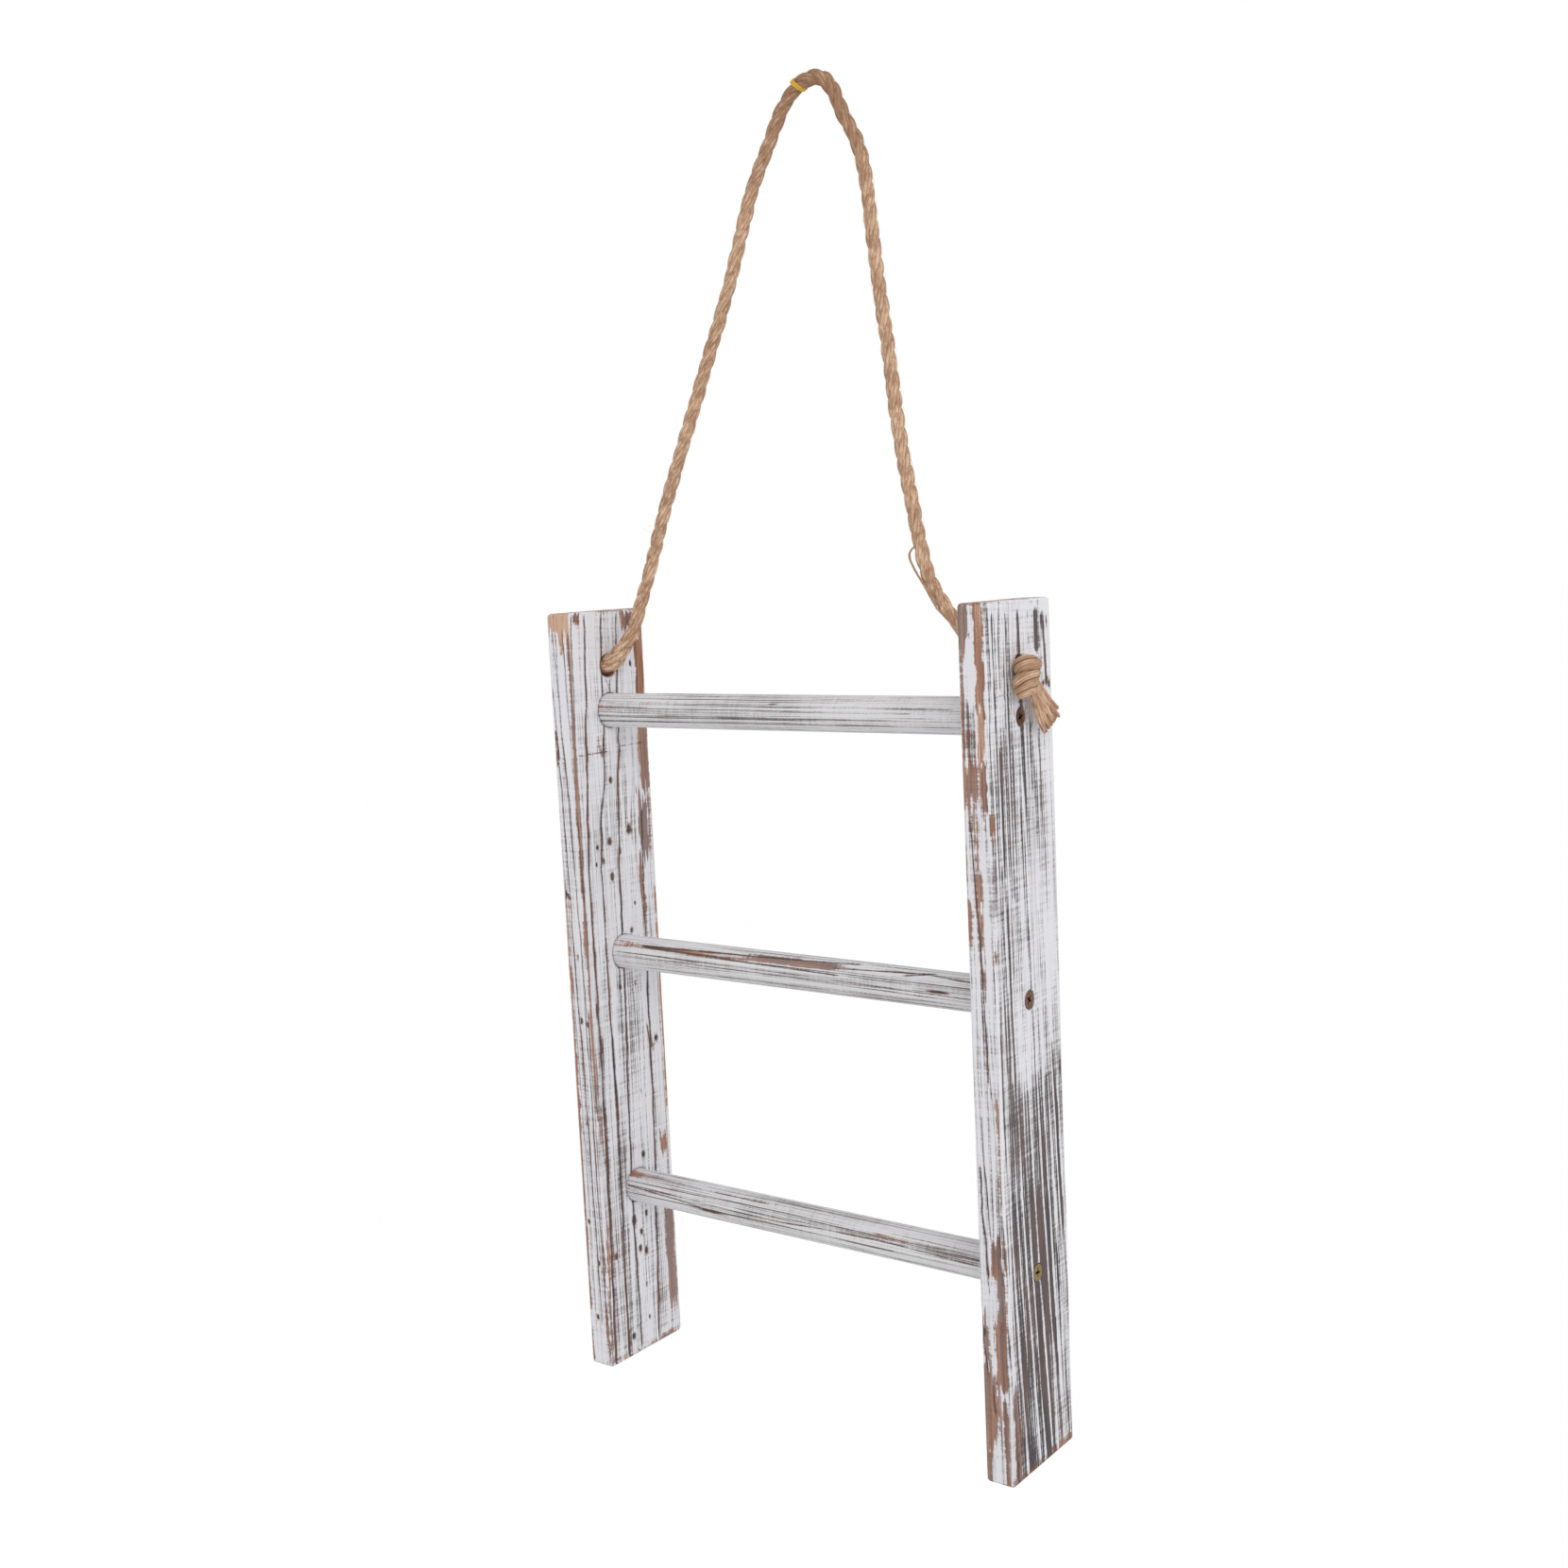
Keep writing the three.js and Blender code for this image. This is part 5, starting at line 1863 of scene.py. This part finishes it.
@dataclass
class WoodScrew:
    """A countersunk screw with a cross recess, its axis along X."""

    side: str
    place_name: str
    height: float
    finish: Material
    turn: float
    head_reach: float = 144.5
    length: float = 30.0
    head_radius: float = 4.5
    rim: float = 0.5
    shank_radius: float = 2.25
    core_radius: float = 1.6
    thread_pitch: float = 2.0
    thread_start: float = 9.0
    tip: float = 6.0
    recess_length: float = 2.5
    recess_width: float = 0.55
    recess_depth: float = 1.7
    sides: int = 96

    def head(self, angle: Array) -> tuple[Array, Array]:
        """The face of the head with its recess pressed in, and how far each place is in it."""
        r = np.concatenate([np.linspace(0, 3.0, 21), np.linspace(3.2, self.head_radius - 0.15, 6)])[:, None]
        y, z = r * np.cos(angle), r * np.sin(angle)
        cos, sin = math.cos(self.turn), math.sin(self.turn)
        u, v = np.abs(y * cos + z * sin), np.abs(z * cos - y * sin)
        slots = (
            smooth(0.18, -0.12, aside - self.recess_width * (1.1 - 0.25 * along))
            * smooth(0.15, -0.25, along - self.recess_length)
            for along, aside in ((u, v), (v, u))
        )
        pressed = np.maximum(*slots)
        deep = pressed * self.recess_depth * (1 - 0.28 * np.hypot(u, v))
        return np.stack([-deep, y, z], axis=2), pressed

    def shank(self, angle: Array) -> Array:
        """The side of the head and the threaded shank, turned about X.

        The thread's radius is core + (shank - core) times a saw shape of depth / pitch plus
        the angle's share of a turn, and it narrows to a point at the tip.
        """
        cone_end = self.rim + self.head_radius - self.shank_radius
        depth = np.concatenate([
            [0.06, self.rim, cone_end],
            np.arange(4.0, self.thread_start, 1.5),
            np.arange(self.thread_start, self.length - 0.01, 0.25),
            [self.length],
        ])[:, None]
        radii = [self.head_radius - 0.05, self.head_radius, self.shank_radius - 0.35]
        plain = np.interp(depth, [0.06, self.rim, cone_end], radii)
        wave = np.abs(2 * ((depth / self.thread_pitch - angle / TURN) % 1) - 1)
        thread = (self.shank_radius - self.core_radius) * smooth(0.45, 1.0, wave)
        taper = np.clip((self.length - depth) / self.tip, 0, 1)
        radius = np.where(depth < self.thread_start, plain, (self.core_radius + thread) * taper)
        x = -depth * np.ones_like(angle)
        return np.stack([x, radius * np.cos(angle), radius * np.sin(angle)], axis=2)

    def build(self) -> Piece:
        """Makes the screw, its head outwards, and sets it on the ladder."""
        skin = Skin(f"screw_{self.side}_{self.place_name}_turned")
        angle = TURN * np.arange(self.sides) / self.sides
        head, pressed = self.head(angle)
        shank = self.shank(angle)
        # The recess's depth is turned into painted shade on the head.
        valley = np.concatenate([pressed, np.zeros(shank.shape[:2])])
        points = on_side(np.concatenate([head, shank]), self.side, self.head_reach, self.height)
        skin.add_grid(points, closed=True, valley=valley)
        screw = skin.make(self.finish, 35)
        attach(screw, "ladder")
        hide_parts(f"screw_{self.side}_{self.place_name}")
        return screw


# Studio


@dataclass(frozen=True)
class Lamp:
    """A square soft lamp that faces a point of the rack."""

    name: str
    place: Point
    watts: float
    size: float
    aim: Point = (0.0, 0.0, -0.4)

    def build(self) -> None:
        """Hangs the lamp."""
        data = bpy.data.lights.new(self.name, "AREA")
        data.energy = self.watts
        data.size = self.size
        lamp = bpy.data.objects.new(self.name, data)
        lamp.location = self.place
        lamp.rotation_euler = (Vector(self.aim) - Vector(self.place)).to_track_quat("-Z", "Y").to_euler()
        bpy.context.scene.collection.objects.link(lamp)


@dataclass(frozen=True)
class Studio:
    """The camera at the photo's angle, the lamps, the white surroundings and the floor."""

    camera_place: Point = (0.581855, -0.826589, -0.247337)
    azimuth: float = 36.979
    elevation: float = 7.063
    roll: float = -2.695
    lens: float = 42.2205
    sensor: float = 36.0
    ambient: float = 0.62
    floor_drop: float = -1.6
    floor_size: float = 80.0
    floor_white: float = 0.99
    lamps: tuple[Lamp, ...] = (
        Lamp("key_lamp", (1.7, -1.4, 0.8), 15.0, 1.4, (0.0, 0.0, -0.3)),
        Lamp("side_lamp", (2.0, -0.2, 0.5), 5.0, 1.2, (0.0, 0.0, -0.35)),
        Lamp("left_lamp", (-1.6, -1.5, 0.3), 5.0, 1.6),
    )

    def build_camera(self) -> None:
        """Puts the camera where the photo was taken from, with the photo's field of view."""
        a, e, roll = (math.radians(v) for v in (self.azimuth, self.elevation, self.roll))
        ahead = Vector((-math.sin(a) * math.cos(e), math.cos(a) * math.cos(e), -math.sin(e)))
        right = ahead.cross(Vector((0, 0, 1))).normalized()
        up = right.cross(ahead)
        axes = (
            math.cos(roll) * right + math.sin(roll) * up,
            math.cos(roll) * up - math.sin(roll) * right,
            -ahead,
        )
        data = bpy.data.cameras.new("photo_camera")
        data.lens, data.sensor_width, data.sensor_height = self.lens, self.sensor, self.sensor
        camera = bpy.data.objects.new("photo_camera", data)
        camera.matrix_world = Matrix.Translation(self.camera_place) @ Matrix(axes).transposed().to_4x4()
        bpy.context.scene.collection.objects.link(camera)
        bpy.context.scene.camera = camera

    def build_world(self) -> None:
        """Even light from all round, with white behind the rack."""
        world = bpy.data.worlds.new("studio")
        world.use_nodes = True
        g = Graph(world.node_tree)
        light = g.tree.nodes["Background"]
        light.inputs["Color"].default_value = (1, 1, 1, 1)
        light.inputs["Strength"].default_value = self.ambient
        white = g.add("ShaderNodeBackground")
        white.inputs["Color"].default_value = (1, 1, 1, 1)
        white.inputs["Strength"].default_value = 1.0
        g.blend(g.white_ray(), light, white, "World Output")
        bpy.context.scene.world = world

    def build_floor(self) -> None:
        """A pale floor well below the rack that keeps a faint shadow of it."""
        half = self.floor_size / 2
        square = ((-half, -half), (half, -half), (half, half), (-half, half))
        corners = [(x, y, self.floor_drop) for x, y in square]
        mesh = bpy.data.meshes.new("floor")
        mesh.from_pydata(corners, [], [(0, 1, 2, 3)])
        g = Finish("pale_floor")
        g.shader.inputs["Base Color"].default_value = (0.95, 0.95, 0.95, 1)
        g.shader.inputs["Roughness"].default_value = 0.9
        glow = g.add("ShaderNodeEmission")
        glow.inputs["Strength"].default_value = 1.0
        g.blend(g.math("MULTIPLY", g.white_ray(), self.floor_white), g.shader, glow, "Material Output")
        mesh.materials.append(g.material)
        floor = bpy.data.objects.new("floor", mesh)
        bpy.context.scene.collection.objects.link(floor)

    def build(self) -> None:
        """Sets up everything but the camera."""
        bpy.context.scene.view_settings.view_transform = "Standard"
        self.build_world()
        self.build_floor()
        for lamp in self.lamps:
            lamp.build()


def report(piece: Piece) -> None:
    """Logs one finished piece."""
    log.info("%s: %d faces", piece.name, len(piece.data.polygons))


def main() -> None:
    """Builds the camera and the rope first, then the ladder and the studio."""
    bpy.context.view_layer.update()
    studio = Studio()
    studio.build_camera()
    jute = Jute().make()
    yellow = Yarn("yellow_yarn", (0.86, 0.56, 0.07, 1), (0.42, 0.22, 0.02, 1)).make()
    knots = [StopperKnot(side, jute).build() for side in ("left", "right")]
    for piece in knots + HangingRope(jute, yellow).build(knots):
        report(piece)
    rail_wash = Whitewash("whitewashed_board", grain_axis=2).make()
    rung_wash = Whitewash(
        "whitewashed_dowel",
        grain_axis=0,
        wash=(0.80, 0.79, 0.805, 1),
        wash_thin=(0.46, 0.45, 0.45, 1),
        saw_marks=0.15,
        fibre_cells=(1500, 5),
    ).make()
    bronze = Plating("bronze_plating", (0.18, 0.09, 0.055, 1), (0.04, 0.02, 0.014, 1)).make()
    brass = Plating("brass_plating", (0.27, 0.19, 0.075, 1), (0.05, 0.034, 0.014, 1)).make()
    boards = (
        SideBoard("left", rail_wash, LEFT_INNER, unseen_face(65, 3), LEFT_FRONT, unseen_face(16, 4)),
        SideBoard("right", rail_wash, unseen_face(65, 5), RIGHT_OUTER, RIGHT_FRONT, unseen_face(16, 6)),
    )
    for board in boards:
        report(board.build())
    for number, (name, drop) in enumerate(RUNG_DROPS.items()):
        height = LADDER_TOP - drop
        report(DowelRung(name, height, rung_wash, rung_marks(name, 80 + number), 8 + number).build())
        plating = brass if name == "bottom" else bronze
        for side in ("left", "right"):
            report(WoodScrew(side, name, height, plating, 0.4 + 0.5 * number).build())
    studio.build()


if __name__ == "__main__":
    logging.basicConfig(level=logging.INFO, format="%(message)s")
    main()
